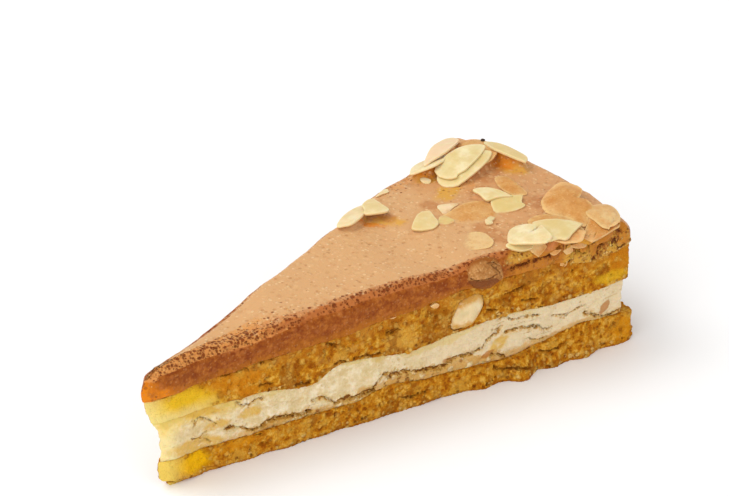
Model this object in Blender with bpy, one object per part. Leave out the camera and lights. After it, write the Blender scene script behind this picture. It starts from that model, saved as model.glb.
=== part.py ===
"""A cut wedge of layered almond cake.

From the table up: an almond sponge, a cream filling, a second sponge, and a thick
caramel topping whose nose droops over the tip.  Sliced almonds lie on the rim half of
the top.  The ones the caramel has run over are fused into it, and the bare ones lie loose.
The wedge is modelled with its tip at the middle of the round cake, then centred.
"""
import math

import bmesh
import bpy
from mathutils import Matrix, Vector, noise
from mathutils.bvhtree import BVHTree

MM = 0.001
GAP = 0.35 * MM

# The wedge seen from above: two straight cuts that meet at the cake's centre, and a blunt tip.
CAKE_RADIUS = 120 * MM
HALF_ANGLE = math.radians(13.7)
TIP_START = -1.0 * MM
TIP_HALF_WIDTH = 2.2 * MM
TIP_LENGTH = 8.0 * MM
CORNER_SOFTNESS = 1.6 * MM
COLUMNS_PER_SIDE = 72
OUTLINE_STEPS = 400
FRONT_CORNER = Vector((math.cos(HALF_ANGLE), -math.sin(HALF_ANGLE))) * CAKE_RADIUS

# Heights of the layer boundaries along the front cut, in mm: (distance from the centre, height).
BASE_TOP = (
    (0, 6.6), (20, 6.0), (47, 5.8), (54, 7.4), (66, 6.0),
    (86, 5.0), (95, 6.4), (104, 8.1), (124, 6.8),
)
CREAM_TOP = (
    (0, 17.2), (24, 15.9), (36, 13.9), (43, 17.0),
    (61, 14.8), (81, 16.4), (103, 15.3), (120, 16.6),
)
SPONGE_TOP = (
    (0, 23.8), (40, 24.1), (60, 25.2), (72, 26.4),
    (98, 26.3), (105, 23.8), (113, 25.0), (120, 26.8),
)
TOPPING_TOP = (
    (0, 31.2), (20, 30.5), (34, 32.0), (60, 32.5),
    (71, 31.7), (82, 32.7), (107, 32.3), (120, 31.2),
)

# Away from the front cut the boundaries drift along the slice and swell, in mm.
DRIFT = {"reach": 7.0, "along": 30.0, "across": 18.0}
SWELL = {"height": 0.8, "size": 24.0}
DRIFT_FROM_CUT = 14.0

# How far the tip reaches past the centre at each height, in mm: the caramel's nose droops furthest.
TIP_REACH = (
    (0, -3.0), (2, 1.3), (5, 1.8), (9, 1.4), (15, 1.6),
    (17, 3.4), (23, 5.3), (26, 5.8), (29, 4.8), (31, 2.4),
)
TIP_STRETCH_END = 14.0 * MM

# Each layer: how far its rim and its cuts stand out, and the height, size and draw of its relief.
LAYERS = {
    "base_sponge": {"rim": 1.6, "cut": 0.1, "relief": 0.55, "grain": 4.5, "draw": 1, "rows": 4},
    "cream_filling": {"rim": -0.45, "cut": -0.3, "relief": 0.5, "grain": 6.0, "draw": 2, "rows": 4},
    "upper_sponge": {"rim": 0.5, "cut": 0.1, "relief": 0.55, "grain": 4.5, "draw": 3, "rows": 4},
    "caramel_topping": {"rim": 0.7, "cut": 0.5, "relief": 0.45, "grain": 7.0, "draw": 4, "rows": 6},
}
# At the rim the cream is squeezed back at its foot and level with the sponge at its top, in mm.
CREAM_LEAN = 0.75
HIDDEN_RINGS = (0.6,)
TOP_RINGS = (0.9, 0.78, 0.54, 0.28)
RIM_FAN_LENGTH = 26 * MM

# Lumps of crumb pressed out of the base along the front cut, in mm: (distance, reach).
BASE_LUMPS = ((78, 1.6), (87.6, 3.7), (96.2, 2.0), (104, 2.0), (112.5, 0.9))
LUMP_HALF_WIDTH = 3.8
LUMP_HEIGHT = 4.5

# The caramel's rounded top edge is widest at the rim's front corner, and its back edge sags.
TOPPING_EDGE = 1.9 * MM
CORNER_EDGE = 2.4 * MM
CORNER_REACH = 13 * MM
BACK_DENT = {"x": 96, "y": 24, "size": 9, "depth": 2.0}
BACK_SWELL = {"x": 20, "size": 14, "reach": 1.1}

# Bare flakes: place in mm, heading, length and width in mm, roll and pitch in degrees.
BARE_FLAKES = (
    ((101.1, 20.5), 4, 12.6, 3.8, -24, 1),
    ((104.7, 21.2), 10, 14.0, 4.8, -16, 2),
    ((116.7, 10.8), -76, 10.8, 3.6, -12, 4),
    ((104.3, 11.9), -2, 15.5, 8.2, 3, -11),
    ((103.9, 12.8), 1, 14.4, 7.4, 0, -10),
    ((99.4, -3.1), -64, 11.6, 5.2, 4, 3),
    ((99.1, -22.4), -24, 12.2, 8.4, 4, 2),
    ((91.6, -20.0), -58, 10.8, 7.6, 2, -12),
    ((80.9, 1.4), -62, 6.2, 6.8, 3, 5),
    ((71.8, 15.3), 6, 8.6, 5.6, -12, 2),
    ((77.1, 13.1), -42, 5.8, 6.2, -4, 2),
)
# Coated flakes: the same, and how far each stands proud of the caramel, in mm.
COATED_FLAKES = (
    ((113.4, 19.6), -34, 12.0, 10.0, -4, -4, 2.0),
    ((92.2, -1.8), -46, 11.8, 10.8, 3, 2, 0.8),
    ((108.1, 0.9), -100, 10.4, 6.4, 0, 2, 0.7),
    ((101.9, -18.2), -64, 13.2, 8.6, 0, 0, 0.6),
    ((111.6, -11.6), 30, 14.6, 9.8, 2, -5, 1.9),
    ((108.3, -18.4), 5, 12.8, 9.2, 5, 3, 1.8),
    ((112.0, -23.6), -80, 8.0, 8.0, 8, 2, 1.5),
    ((108.6, -25.0), -8, 13.0, 8.6, 24, 3, 0.6),
    ((81.9, -11.8), -90, 8.6, 10.4, 2, 2, 0.4),
)
FLAKE_THICKNESS = 1.15 * MM
COATED_THICKNESS = 2.3 * MM
FLAKE_SIDES = 16
FLAKE_BEND = 0.5 * MM
FLAKE_POINT = 0.32
DROP_HEIGHT = 0.1

# An almond half that shows at the crease, and a chunk of nut in the upper sponge's cut face.
ALMOND_HALF = {"along": 80.6, "height": 30.1, "half_sizes": (4.7, 2.2, 3.2), "tilt": 6, "depth": 1.2}
NUT_CHUNK = {"along": 76.8, "height": 20.4, "half_sizes": (5.4, 2.4, 3.5), "tilt": 34, "depth": 1.4}


def clear_scene():
    for thing in list(bpy.data.objects):
        bpy.data.objects.remove(thing, do_unlink=True)


def finish(name, colour, roughness):
    material = bpy.data.materials.new(name)
    material.use_nodes = True
    shader = material.node_tree.nodes["Principled BSDF"]
    shader.inputs["Base Color"].default_value = (*colour, 1.0)
    shader.inputs["Roughness"].default_value = roughness
    material.diffuse_color = (*colour, 1.0)
    return material


def smooth_between(points, at):
    """Read a hand-set profile, easing from each point to the next."""
    if at <= points[0][0]:
        return points[0][1]
    for (start, low), (end, high) in zip(points, points[1:]):
        if at <= end:
            share = (at - start) / (end - start)
            return low + (high - low) * share * share * (3 - 2 * share)
    return points[-1][1]


def bell(away):
    """One at the middle of a bump, falling smoothly to nothing."""
    return math.exp(-away * away)


def half_width(x):
    """Half the wedge's width at x, blunt at the tip and straight beyond it."""
    straight = max(x, 0.0) * math.tan(HALF_ANGLE)
    share = min(max((TIP_START + TIP_LENGTH - x) / TIP_LENGTH, 0.0), 1.0)
    blunt = TIP_HALF_WIDTH * math.sqrt(1 - share * share)
    return max(straight, blunt)


def half_outline(radius):
    """Points from the tip along the front cut, round the corner and to the rim's middle."""
    points = []
    corner = radius * math.cos(HALF_ANGLE)
    for step in range(OUTLINE_STEPS):
        share = step / OUTLINE_STEPS
        x = TIP_START + (corner - TIP_START) * share * share * (3 - 2 * share)
        points.append(Vector((x, -half_width(x))))
    for step in range(OUTLINE_STEPS // 2 + 1):
        angle = -HALF_ANGLE * (1 - 2 * step / OUTLINE_STEPS)
        points.append(Vector((radius * math.cos(angle), radius * math.sin(angle))))
    return points


def walk(points, count):
    """Spread count + 1 points evenly along a line of points."""
    lengths = [0.0]
    for before, after in zip(points, points[1:]):
        lengths.append(lengths[-1] + (after - before).length)
    spread = []
    index = 0
    for step in range(count + 1):
        target = lengths[-1] * step / count
        while index < len(points) - 2 and lengths[index + 1] < target:
            index += 1
        span = lengths[index + 1] - lengths[index]
        share = (target - lengths[index]) / span if span > 0 else 0.0
        spread.append(points[index].lerp(points[index + 1], min(share, 1.0)))
    return spread


def soften(points, reach):
    """Average neighbouring points, which rounds the rim's corner."""
    softened = [points[0]]
    for index in range(1, len(points) - 1):
        room = min(reach, index, len(points) - 1 - index)
        span = points[index - room:index + room + 1]
        softened.append(sum(span, Vector((0.0, 0.0))) / len(span))
    softened.append(points[-1])
    return softened


def outline(radius):
    """The whole wedge outline with its outward directions, going round from the tip."""
    fine = walk(half_outline(radius), 4 * COLUMNS_PER_SIDE)
    spacing = (fine[-1] - fine[-2]).length
    half = walk(soften(fine, round(CORNER_SOFTNESS / spacing)), COLUMNS_PER_SIDE)
    mirrored = [Vector((point.x, -point.y)) for point in reversed(half[1:-1])]
    ring = half + mirrored
    outward = []
    for index, _ in enumerate(ring):
        along = ring[(index + 1) % len(ring)] - ring[index - 1]
        outward.append(Vector((along.y, -along.x)).normalized())
    return ring, outward


def layer_height(profile, x, y):
    """Height of a layer boundary: as cut at the front, wandering further in."""
    draw = profile[0][1]
    x_mm = x / MM
    y_mm = y / MM
    inside = min(max(y_mm + half_width(x) / MM, 0.0) / DRIFT_FROM_CUT, 1.0)
    wander = noise.noise(Vector((x_mm / DRIFT["along"], y_mm / DRIFT["across"], draw)))
    rise = noise.noise(Vector((x_mm / SWELL["size"], y_mm / SWELL["size"], draw + 2)))
    height = smooth_between(profile, x_mm + DRIFT["reach"] * inside * wander)
    return (height + SWELL["height"] * inside * rise) * MM


def base_floor(x, y):
    return 0.0


def base_top(x, y):
    return layer_height(BASE_TOP, x, y)


def cream_top(x, y):
    return layer_height(CREAM_TOP, x, y)


def sponge_top(x, y):
    return layer_height(SPONGE_TOP, x, y)


def topping_top(x, y):
    away = math.hypot(x / MM - BACK_DENT["x"], y / MM - BACK_DENT["y"]) / BACK_DENT["size"]
    return layer_height(TOPPING_TOP, x, y) - BACK_DENT["depth"] * MM * bell(away)


def below(height):
    """The same surface, one gap lower, for the layer that ends under it."""
    return lambda x, y: height(x, y) - GAP


def relief(layer, x, y, z):
    """Uneven relief of a cut side, as a distance along its outward direction."""
    spot = Vector((x, y, z)) / (layer["grain"] * MM)
    spot.z += layer["draw"]
    return layer["relief"] * MM * (noise.noise(spot) + 0.5 * noise.noise(spot * 2.1))


def base_lump(x, y, z):
    """Extra reach of the base where crumbs are pressed out at the front cut."""
    if y > 0:
        return 0.0
    low = bell(z / MM / LUMP_HEIGHT)
    return max(size * bell((x / MM - along) / LUMP_HALF_WIDTH) for along, size in BASE_LUMPS) * low * MM


def edge_inset(spot, drop):
    """How far the caramel's rounded top edge lies back, at a drop below the top."""
    radius = min(TOPPING_EDGE, 0.5 * max(half_width(spot.x), TIP_HALF_WIDTH))
    radius += CORNER_EDGE * bell((spot - FRONT_CORNER).length / CORNER_REACH)
    above = max(1 - drop / radius, 0.0)
    return radius * (1 - math.sqrt(1 - above * above))


def side_point(name, spot, outward, share, low, top):
    """A point on a layer's side, with its relief, and drawn forward near the tip."""
    z = low + (top - low) * share
    layer = LAYERS[name]
    out = layer["cut"] * MM + relief(layer, spot.x, spot.y, z)
    if name == "base_sponge":
        out += base_lump(spot.x, spot.y, z)
    if name == "caramel_topping":
        out -= edge_inset(spot, top - z)
    if name == "cream_filling":
        out += CREAM_LEAN * MM * (2 * share - 1) * max(outward.x, 0.0)
    if spot.y > 0:
        away = (spot.x / MM - BACK_SWELL["x"]) / BACK_SWELL["size"]
        out += BACK_SWELL["reach"] * MM * bell(away)
    x = spot.x + outward.x * out
    y = spot.y + outward.y * out
    behind = min(max((x - TIP_START) / (TIP_STRETCH_END - TIP_START), 0.0), 1.0)
    reach = smooth_between(TIP_REACH, z / MM) * MM + TIP_START
    return x - reach * (1 - behind * behind), y


def close_cap(mesh, ring, plan, height, fractions, upward):
    """Fill a ring with smaller rings of the plan, and a last strip across the wedge."""
    count = len(ring)
    line_start = TIP_START + TIP_HALF_WIDTH
    line_end = CAKE_RADIUS * math.cos(HALF_ANGLE) - RIM_FAN_LENGTH
    last = ring
    for fraction in fractions:
        fresh = []
        for corner in plan:
            middle = Vector((min(max(corner.x, line_start), line_end), 0.0))
            spot = middle.lerp(corner, fraction)
            fresh.append(mesh.verts.new((spot.x, spot.y, height(spot.x, spot.y))))
        for index in range(count):
            after = (index + 1) % count
            corners = (last[index], last[after], fresh[after], fresh[index])
            mesh.faces.new(corners if upward else corners[::-1])
        last = fresh
    half = count // 2
    for index in range(half):
        corners = [last[index], last[index + 1], last[-index - 1], last[-index]]
        if index == 0:
            corners = [last[0], last[1], last[-1]]
        elif index == half - 1:
            corners = [last[index], last[half], last[-index]]
        mesh.faces.new(corners if upward else corners[::-1])


def build_layer(name, material, floor, top, rings):
    """One layer of the wedge: walls with relief, and a closed face above and below."""
    ring, outward = outline(CAKE_RADIUS + LAYERS[name]["rim"] * MM)
    plan, _ = outline(CAKE_RADIUS)
    rows = LAYERS[name]["rows"]
    mesh = bmesh.new()
    wall = []
    for row in range(rows + 1):
        share = row / rows
        corners = []
        for spot, out in zip(ring, outward):
            low = floor(spot.x, spot.y)
            high = top(spot.x, spot.y)
            x, y = side_point(name, spot, out, share, low, high)
            low = floor(x, y)
            corners.append(mesh.verts.new((x, y, low + (top(x, y) - low) * share)))
        wall.append(corners)
    for lower, upper in zip(wall, wall[1:]):
        for index in range(len(ring)):
            after = (index + 1) % len(ring)
            mesh.faces.new((lower[index], lower[after], upper[after], upper[index]))
    close_cap(mesh, wall[-1], plan, top, rings, True)
    close_cap(mesh, wall[0], plan, floor, HIDDEN_RINGS, False)
    bmesh.ops.triangulate(mesh, faces=mesh.faces[:])
    return as_object(mesh, name, material)


def as_object(mesh, name, material):
    data = bpy.data.meshes.new(name)
    mesh.to_mesh(data)
    mesh.free()
    data.materials.append(material)
    data.shade_smooth()
    piece = bpy.data.objects.new(name, data)
    bpy.context.scene.collection.objects.link(piece)
    return piece


def flake_edge(angle, length, width):
    """Outline of a sliced almond: round at one end and drawn to a point at the other."""
    u = math.cos(angle)
    v = math.sin(angle) * (1 - FLAKE_POINT * u)
    return Vector((u * length / 2, v * width / 2))


def build_flake(name, material, length, width, thickness):
    """A thin almond slice, arched along and across, with a thinner edge."""
    mesh = bmesh.new()
    levels = ((0.55, 0.5), (0.94, 0.42), (1.0, 0.0), (0.94, -0.42), (0.55, -0.5))
    loops = []
    for fraction, level in levels:
        loop = []
        for side in range(FLAKE_SIDES):
            spot = flake_edge(2 * math.pi * side / FLAKE_SIDES, length, width) * fraction
            arch = -FLAKE_BEND * ((2 * spot.x / length) ** 2 + 0.6 * (2 * spot.y / width) ** 2)
            loop.append(mesh.verts.new((spot.x, spot.y, arch + level * thickness)))
        loops.append(loop)
    for upper, lower in zip(loops, loops[1:]):
        for side in range(FLAKE_SIDES):
            after = (side + 1) % FLAKE_SIDES
            mesh.faces.new((upper[side], lower[side], lower[after], upper[after]))
    for loop, level in ((loops[0], 0.5), (loops[-1][::-1], -0.5)):
        middle = mesh.verts.new((0, 0, level * thickness))
        for side in range(FLAKE_SIDES):
            mesh.faces.new((middle, loop[side], loop[(side + 1) % FLAKE_SIDES]))
    bmesh.ops.triangulate(mesh, faces=mesh.faces[:])
    return as_object(mesh, name, material)


def place(piece, spot, heading, roll, pitch, height):
    """Set a flake down at a place on the top, and bake the place into its mesh."""
    turn = Matrix.Rotation(math.radians(heading), 4, "Z")
    turn = turn @ Matrix.Rotation(math.radians(pitch), 4, "Y")
    turn = turn @ Matrix.Rotation(math.radians(roll), 4, "X")
    move = Matrix.Translation((spot[0] * MM, spot[1] * MM, height))
    piece.data.transform(move @ turn)


def tree_of(piece):
    corners = [vertex.co for vertex in piece.data.vertices]
    return BVHTree.FromPolygons(corners, [face.vertices for face in piece.data.polygons])


def corners_and_edge_middles(thing):
    corners = [vertex.co.copy() for vertex in thing.data.vertices]
    return corners + [(corners[start] + corners[end]) / 2 for start, end in thing.data.edge_keys]


def settle(piece, supports):
    """Lower a piece until it lies one gap above what is under it."""
    up = Vector((0, 0, 1))
    own_tree = tree_of(piece)
    trees = [tree_of(support) for support in supports]
    spots = [spot for thing in [piece] + supports for spot in corners_and_edge_middles(thing)]
    room = math.inf
    for spot in spots:
        under = own_tree.ray_cast(Vector((spot.x, spot.y, -1)), up)[0]
        hits = [tree.ray_cast(Vector((spot.x, spot.y, 1)), -up)[0] for tree in trees]
        levels = [hit.z for hit in hits if hit is not None]
        if under is not None and levels:
            room = min(room, under.z - max(levels))
    piece.data.transform(Matrix.Translation((0, 0, GAP - room)))


def build_nut(name, material, nut, grow=0.0):
    """An egg-shaped piece of nut, set into the front cut face."""
    mesh = bmesh.new()
    bmesh.ops.create_icosphere(mesh, subdivisions=3, radius=1.0)
    for vertex in mesh.verts:
        direction = vertex.co.copy()
        lump = 1 + 0.10 * noise.noise(direction * 1.6 + Vector((nut["along"], 0, 0)))
        for axis, half_size in enumerate(nut["half_sizes"]):
            vertex.co[axis] = direction[axis] * lump * (half_size * MM + grow)
    piece = as_object(mesh, name, material)
    turn = Matrix.Rotation(-HALF_ANGLE, 4, "Z") @ Matrix.Rotation(math.radians(-nut["tilt"]), 4, "Y")
    face = FRONT_CORNER.normalized() * nut["along"] * MM
    inward = Vector((math.sin(HALF_ANGLE), math.cos(HALF_ANGLE))) * nut["depth"] * MM
    where = (face.x + inward.x, face.y + inward.y, nut["height"] * MM)
    piece.data.transform(Matrix.Translation(where) @ turn)
    return piece


def fuse(piece, extras):
    """Join the extras to the piece as one solid, and remove them."""
    group = bpy.data.collections.new("fused_" + piece.name)
    bpy.context.scene.collection.children.link(group)
    for extra in extras:
        bpy.context.scene.collection.objects.unlink(extra)
        group.objects.link(extra)
    join = piece.modifiers.new("fuse", "BOOLEAN")
    join.operation = "UNION"
    join.solver = "MANIFOLD"
    join.operand_type = "COLLECTION"
    join.collection = group
    apply_modifiers(piece)
    for extra in extras:
        bpy.data.objects.remove(extra, do_unlink=True)
    bpy.data.collections.remove(group)


def carve(piece, cutter):
    """Cut a pocket of the cutter's shape, and remove the cutter."""
    cut = piece.modifiers.new("pocket", "BOOLEAN")
    cut.operation = "DIFFERENCE"
    cut.object = cutter
    apply_modifiers(piece)
    bpy.data.objects.remove(cutter, do_unlink=True)


def apply_modifiers(piece):
    graph = bpy.context.evaluated_depsgraph_get()
    data = bpy.data.meshes.new_from_object(piece.evaluated_get(graph))
    piece.modifiers.clear()
    old = piece.data
    piece.data = data
    bpy.data.meshes.remove(old)
    data.name = piece.name
    data.shade_smooth()


def build_layers():
    """The four layers, each ending one gap below the next."""
    sponge = finish("golden_sponge", (0.52, 0.27, 0.055), 0.85)
    cream = finish("ivory_cream", (0.80, 0.70, 0.50), 0.55)
    caramel = finish("caramel", (0.60, 0.32, 0.15), 0.5)
    base = build_layer("base_sponge", sponge, base_floor, below(base_top), HIDDEN_RINGS)
    filling = build_layer("cream_filling", cream, base_top, below(cream_top), HIDDEN_RINGS)
    upper = build_layer("upper_sponge", sponge, cream_top, below(sponge_top), HIDDEN_RINGS)
    topping = build_layer("caramel_topping", caramel, sponge_top, topping_top, TOP_RINGS)
    return base, filling, upper, topping


def build_chunk(upper):
    """Set the chunk of nut in a pocket of the upper sponge's cut face."""
    nut = finish("blanched_nut", (0.85, 0.76, 0.55), 0.5)
    carve(upper, build_nut("pocket", nut, NUT_CHUNK, grow=GAP))
    return build_nut("nut_chunk", nut, NUT_CHUNK)


def fuse_coated_flakes(topping, almond):
    """Sink the coated flakes and the almond half into the caramel, as one solid with it."""
    extras = [build_nut("almond_half", almond, ALMOND_HALF)]
    for spot, heading, length, width, roll, pitch, proud in COATED_FLAKES:
        flake = build_flake("coated_flake", almond, length * MM, width * MM, COATED_THICKNESS)
        height = topping_top(spot[0] * MM, spot[1] * MM) + proud * MM - COATED_THICKNESS / 2
        place(flake, spot, heading, roll, pitch, height)
        extras.append(flake)
    fuse(topping, extras)


def lay_bare_flakes(topping, almond):
    """Lay the bare flakes down one after another, each on whatever is under it."""
    flakes = []
    for number, (spot, heading, length, width, roll, pitch) in enumerate(BARE_FLAKES, 1):
        name = f"almond_flake_{number}"
        flake = build_flake(name, almond, length * MM, width * MM, FLAKE_THICKNESS)
        place(flake, spot, heading, roll, pitch, DROP_HEIGHT)
        settle(flake, [topping] + flakes)
        flakes.append(flake)
    return flakes


def centre_on_base(pieces):
    """Move everything so that the middle of the footprint is the origin."""
    corners = [vertex.co for piece in pieces for vertex in piece.data.vertices]
    middle_x = (min(co.x for co in corners) + max(co.x for co in corners)) / 2
    middle_y = (min(co.y for co in corners) + max(co.y for co in corners)) / 2
    for piece in pieces:
        piece.data.transform(Matrix.Translation((-middle_x, -middle_y, 0)))


def build_slice():
    clear_scene()
    base, filling, upper, topping = build_layers()
    chunk = build_chunk(upper)
    almond = finish("almond", (0.84, 0.70, 0.42), 0.5)
    fuse_coated_flakes(topping, almond)
    flakes = lay_bare_flakes(topping, almond)
    centre_on_base([base, filling, upper, topping, chunk] + flakes)


build_slice()
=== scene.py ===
import itertools
import math

import bmesh
import bpy
import numpy as np
from mathutils import Euler, Matrix, Vector
from mathutils.bvhtree import BVHTree


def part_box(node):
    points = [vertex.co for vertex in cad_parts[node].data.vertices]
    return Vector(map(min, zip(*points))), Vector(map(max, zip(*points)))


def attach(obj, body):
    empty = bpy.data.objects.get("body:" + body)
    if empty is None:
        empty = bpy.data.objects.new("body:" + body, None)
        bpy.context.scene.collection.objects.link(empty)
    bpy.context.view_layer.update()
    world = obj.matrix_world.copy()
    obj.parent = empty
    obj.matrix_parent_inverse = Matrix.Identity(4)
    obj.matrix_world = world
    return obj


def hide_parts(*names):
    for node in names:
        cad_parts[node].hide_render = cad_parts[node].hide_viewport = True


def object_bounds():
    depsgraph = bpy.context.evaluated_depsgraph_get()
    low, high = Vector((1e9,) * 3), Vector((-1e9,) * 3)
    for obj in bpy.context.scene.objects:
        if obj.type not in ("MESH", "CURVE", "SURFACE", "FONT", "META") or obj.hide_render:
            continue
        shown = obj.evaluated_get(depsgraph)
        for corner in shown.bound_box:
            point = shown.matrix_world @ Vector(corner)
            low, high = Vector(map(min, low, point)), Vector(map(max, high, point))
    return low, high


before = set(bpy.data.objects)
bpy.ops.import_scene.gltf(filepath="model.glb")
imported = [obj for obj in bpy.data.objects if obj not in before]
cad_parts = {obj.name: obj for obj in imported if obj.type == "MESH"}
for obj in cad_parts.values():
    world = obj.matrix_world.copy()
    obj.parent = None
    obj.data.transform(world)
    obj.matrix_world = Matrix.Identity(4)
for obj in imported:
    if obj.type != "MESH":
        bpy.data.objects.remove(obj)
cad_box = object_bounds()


# Base sponge.
# A thin sheet of almond sponge, cut with the slice, so that its sides are fine torn crumb.  One
# even fine mesh is laid over its solid and some loose crumbs, with lumps and pits worked into it.
MM = 0.001
RIM_CORNER = Vector((122.03, 28.66, 0))
CAKE_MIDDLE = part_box("base_sponge")[1] - RIM_CORNER * MM
CAKE_MIDDLE.z = 0
CAKE_RADIUS = 120
HALF_ANGLE = math.radians(13.7)
SLICE_LENGTH = 118
LAYER_GAP = 0.4
SIDE_DEPTH = 3.5
FRONT_CUT = 0
RIM = 2


def corners_of(piece):
    """The mesh's corners in mm, measured from where the two cuts meet, and its normals."""
    count = len(piece.data.vertices)
    spots = np.empty(count * 3, np.float32)
    normals = np.empty(count * 3, np.float32)
    piece.data.vertices.foreach_get("co", spots)
    piece.data.vertex_normals.foreach_get("vector", normals)
    spots = (spots.reshape(-1, 3).astype(float) - np.array(CAKE_MIDDLE)) / MM
    return spots, normals.reshape(-1, 3).astype(float)


def move_corners(piece, spots):
    """Put the corners back, kept inside the box of the whole slice."""
    placed = spots * MM + np.array(CAKE_MIDDLE)
    placed = np.clip(placed, np.array(cad_box[0]), np.array(cad_box[1]))
    piece.data.vertices.foreach_set("co", placed.astype(np.float32).ravel())
    piece.data.update()


def store(piece, mask, values):
    layer = piece.data.attributes.new(mask, "FLOAT", "POINT")
    layer.data.foreach_set("value", values.astype(np.float32))


def paint(piece, **masks):
    """Store masks from 0 to 1 on the corners, for the finish to read by name."""
    for mask, values in masks.items():
        store(piece, mask, np.clip(values, 0, 1))


def paint_cracks(piece, offset, width):
    """Store how far off the nearest crack each corner is, and how wide that crack is there."""
    store(piece, "crack_off", np.clip(offset, -9, 9))
    store(piece, "crack_wide", np.clip(width, 0, 9))


def ease(values, start, end):
    """Rise smoothly from 0 at start to 1 at end."""
    share = np.clip((values - start) / (end - start), 0, 1)
    return share * share * (3 - 2 * share)


def draws(cells, salt):
    """One number from 0 to 1 for each cell of a grid, the same on every run."""
    x, y, z = cells.astype(np.int64).T
    mixed = (x * 73856093 ^ y * 19349663 ^ z * 83492791 ^ salt * 668265263) & 0xFFFFFFFF
    mixed = ((mixed ^ mixed >> 15) * 0x2C1B3C6D) & 0xFFFFFFFF
    mixed = ((mixed ^ mixed >> 12) * 0x297A2D39) & 0xFFFFFFFF
    return (mixed ^ mixed >> 15) / 0xFFFFFFFF


def waves(spots, size, salt):
    """Smooth unevenness from -1 to 1, with lumps of about the given size in mm."""
    scaled = spots / size
    cell = np.floor(scaled)
    share = scaled - cell
    share = share * share * (3 - 2 * share)
    total = np.zeros(len(spots))
    for corner in itertools.product((0, 1), repeat=3):
        weight = np.prod(np.where(corner, share, 1 - share), axis=1)
        total += weight * draws(cell + corner, salt)
    return total * 2 - 1


def grains(spots, size, salt):
    """How far off the nearest grain's middle is, in grain sizes, and that grain's own draw."""
    scaled = spots / size
    home = np.floor(scaled)
    nearest = np.full(len(spots), 9.0)
    own = np.zeros(len(spots))
    for step in itertools.product((-1, 0, 1), repeat=3):
        cell = home + step
        middle = cell + np.stack([draws(cell, salt + axis) for axis in range(3)], axis=1)
        away = np.linalg.norm(scaled - middle, axis=1)
        closer = away < nearest
        nearest[closer] = away[closer]
        own[closer] = draws(cell[closer], salt + 3)
    return nearest, own


def stray(spots, reach, size, salt):
    """The spots moved by up to the reach in mm, so that what is drawn on them comes out uneven."""
    return spots + reach * np.stack([waves(spots, size, salt + axis) for axis in range(3)], axis=1)


def unroll(spots):
    """Lay the front cut, the back cut and the rim out flat: distance along, and depth behind them.

    Every spot belongs to the side that it is nearest to.  The back cut runs the other way and the
    rim is laid out round the middle, so that what is drawn along the front shows there elsewhere.
    """
    x, y = spots[:, 0], spots[:, 1]
    sine, cosine = math.sin(HALF_ANGLE), math.cos(HALF_ANGLE)
    depths = np.stack([x * sine + y * cosine, x * sine - y * cosine, CAKE_RADIUS - np.hypot(x, y)])
    side = np.argmin(depths, axis=0)
    front = x * cosine - y * sine
    back = SLICE_LENGTH - (x * cosine + y * sine)
    rim = SLICE_LENGTH / 2 + np.arctan2(y, x) * CAKE_RADIUS
    return np.choose(side, [front, back, rim]), depths.min(axis=0), side


def layer_share(spots, along, side, depth):
    """Height within the layer, from 0 at its underside to 1 at its top, where a side shows it."""
    first, last = -10, 130
    share = np.full(len(spots), 0.5)
    for which in range(3):
        here = (side == which) & (depth < 4)
        steps = np.clip(along[here], first, last) - first
        low = np.full(last - first + 2, 99.0)
        high = -low
        np.minimum.at(low, steps.astype(int), spots[here, 2])
        np.maximum.at(high, steps.astype(int), spots[here, 2])
        known = np.nonzero(high > low)[0]
        low = np.interp(steps - 0.5, known, low[known])
        high = np.interp(steps - 0.5, known, high[known])
        share[here] = (spots[here, 2] - low) / np.maximum(high - low, 0.1)
    return np.clip(share, 0, 1)


def side_mask(lean, depth):
    """1 on the upright sides, and 0 on what leans over or lies deeper than the sides do."""
    return ease(1 - lean, 0.1, 0.5) * ease(-depth, -SIDE_DEPTH, -2.0)


def ball_shape(subdivisions):
    """The corners and the three-cornered faces of a ball of radius 1."""
    ball = bmesh.new()
    bmesh.ops.create_icosphere(ball, subdivisions=subdivisions, radius=1.0)
    ball.verts.index_update()
    points = np.array([corner.co[:] for corner in ball.verts])
    faces = np.array([[corner.index for corner in face.verts] for face in ball.faces])
    ball.free()
    return points, faces


def scattered_crumbs(node, count, sizes, seed):
    """Small round-cornered crumbs, about half sunk in the upright faces of a solid."""
    sunk, above_floor = 0.35, 1.6
    chance = np.random.default_rng(seed)
    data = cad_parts[node].data
    upright = [face for face in data.polygons if abs(face.normal.z) < 0.6]
    underside = min(corner.co.z for corner in data.vertices)
    areas = np.array([face.area for face in upright])
    picked = chance.choice(len(upright), size=count, p=areas / areas.sum())
    shape, faces = ball_shape(1)
    points = []
    for index in picked:
        face = upright[index]
        a, b, c = (np.array(data.vertices[corner].co) for corner in face.vertices)
        u, v = chance.random(2)
        if u + v > 1:
            u, v = 1 - u, 1 - v
        size = sizes[0] + (sizes[1] - sizes[0]) * chance.random() ** 3
        stretch = size * chance.uniform(0.6, 1.25, 3)
        turn = np.array(Euler(chance.uniform(0, math.pi, 3)).to_matrix())
        rough = shape * chance.uniform(0.75, 1.2, (len(shape), 1))
        middle = a + (b - a) * u + (c - a) * v - np.array(face.normal) * size * sunk * MM
        middle[2] = max(middle[2], underside + above_floor * size * MM)
        points.append((rough * stretch) @ turn.T * MM + middle)
    starts = np.arange(count)[:, None, None] * len(shape)
    return np.concatenate(points), (faces[None] + starts).reshape(-1, 3)


def new_piece(name, points, faces):
    """A smooth piece of its own, from its corners in metres and its faces."""
    data = bpy.data.meshes.new(name)
    data.from_pydata(points, [], faces)
    data.shade_smooth()
    piece = bpy.data.objects.new(name, data)
    bpy.context.scene.collection.objects.link(piece)
    return piece


def chosen_group(piece, name, chosen):
    """A vertex group of the chosen corners, for a modifier to work on, by its name."""
    group = piece.vertex_groups.new(name=name)
    group.add(np.nonzero(chosen)[0].tolist(), 1.0, "REPLACE")
    return group.name


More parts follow.
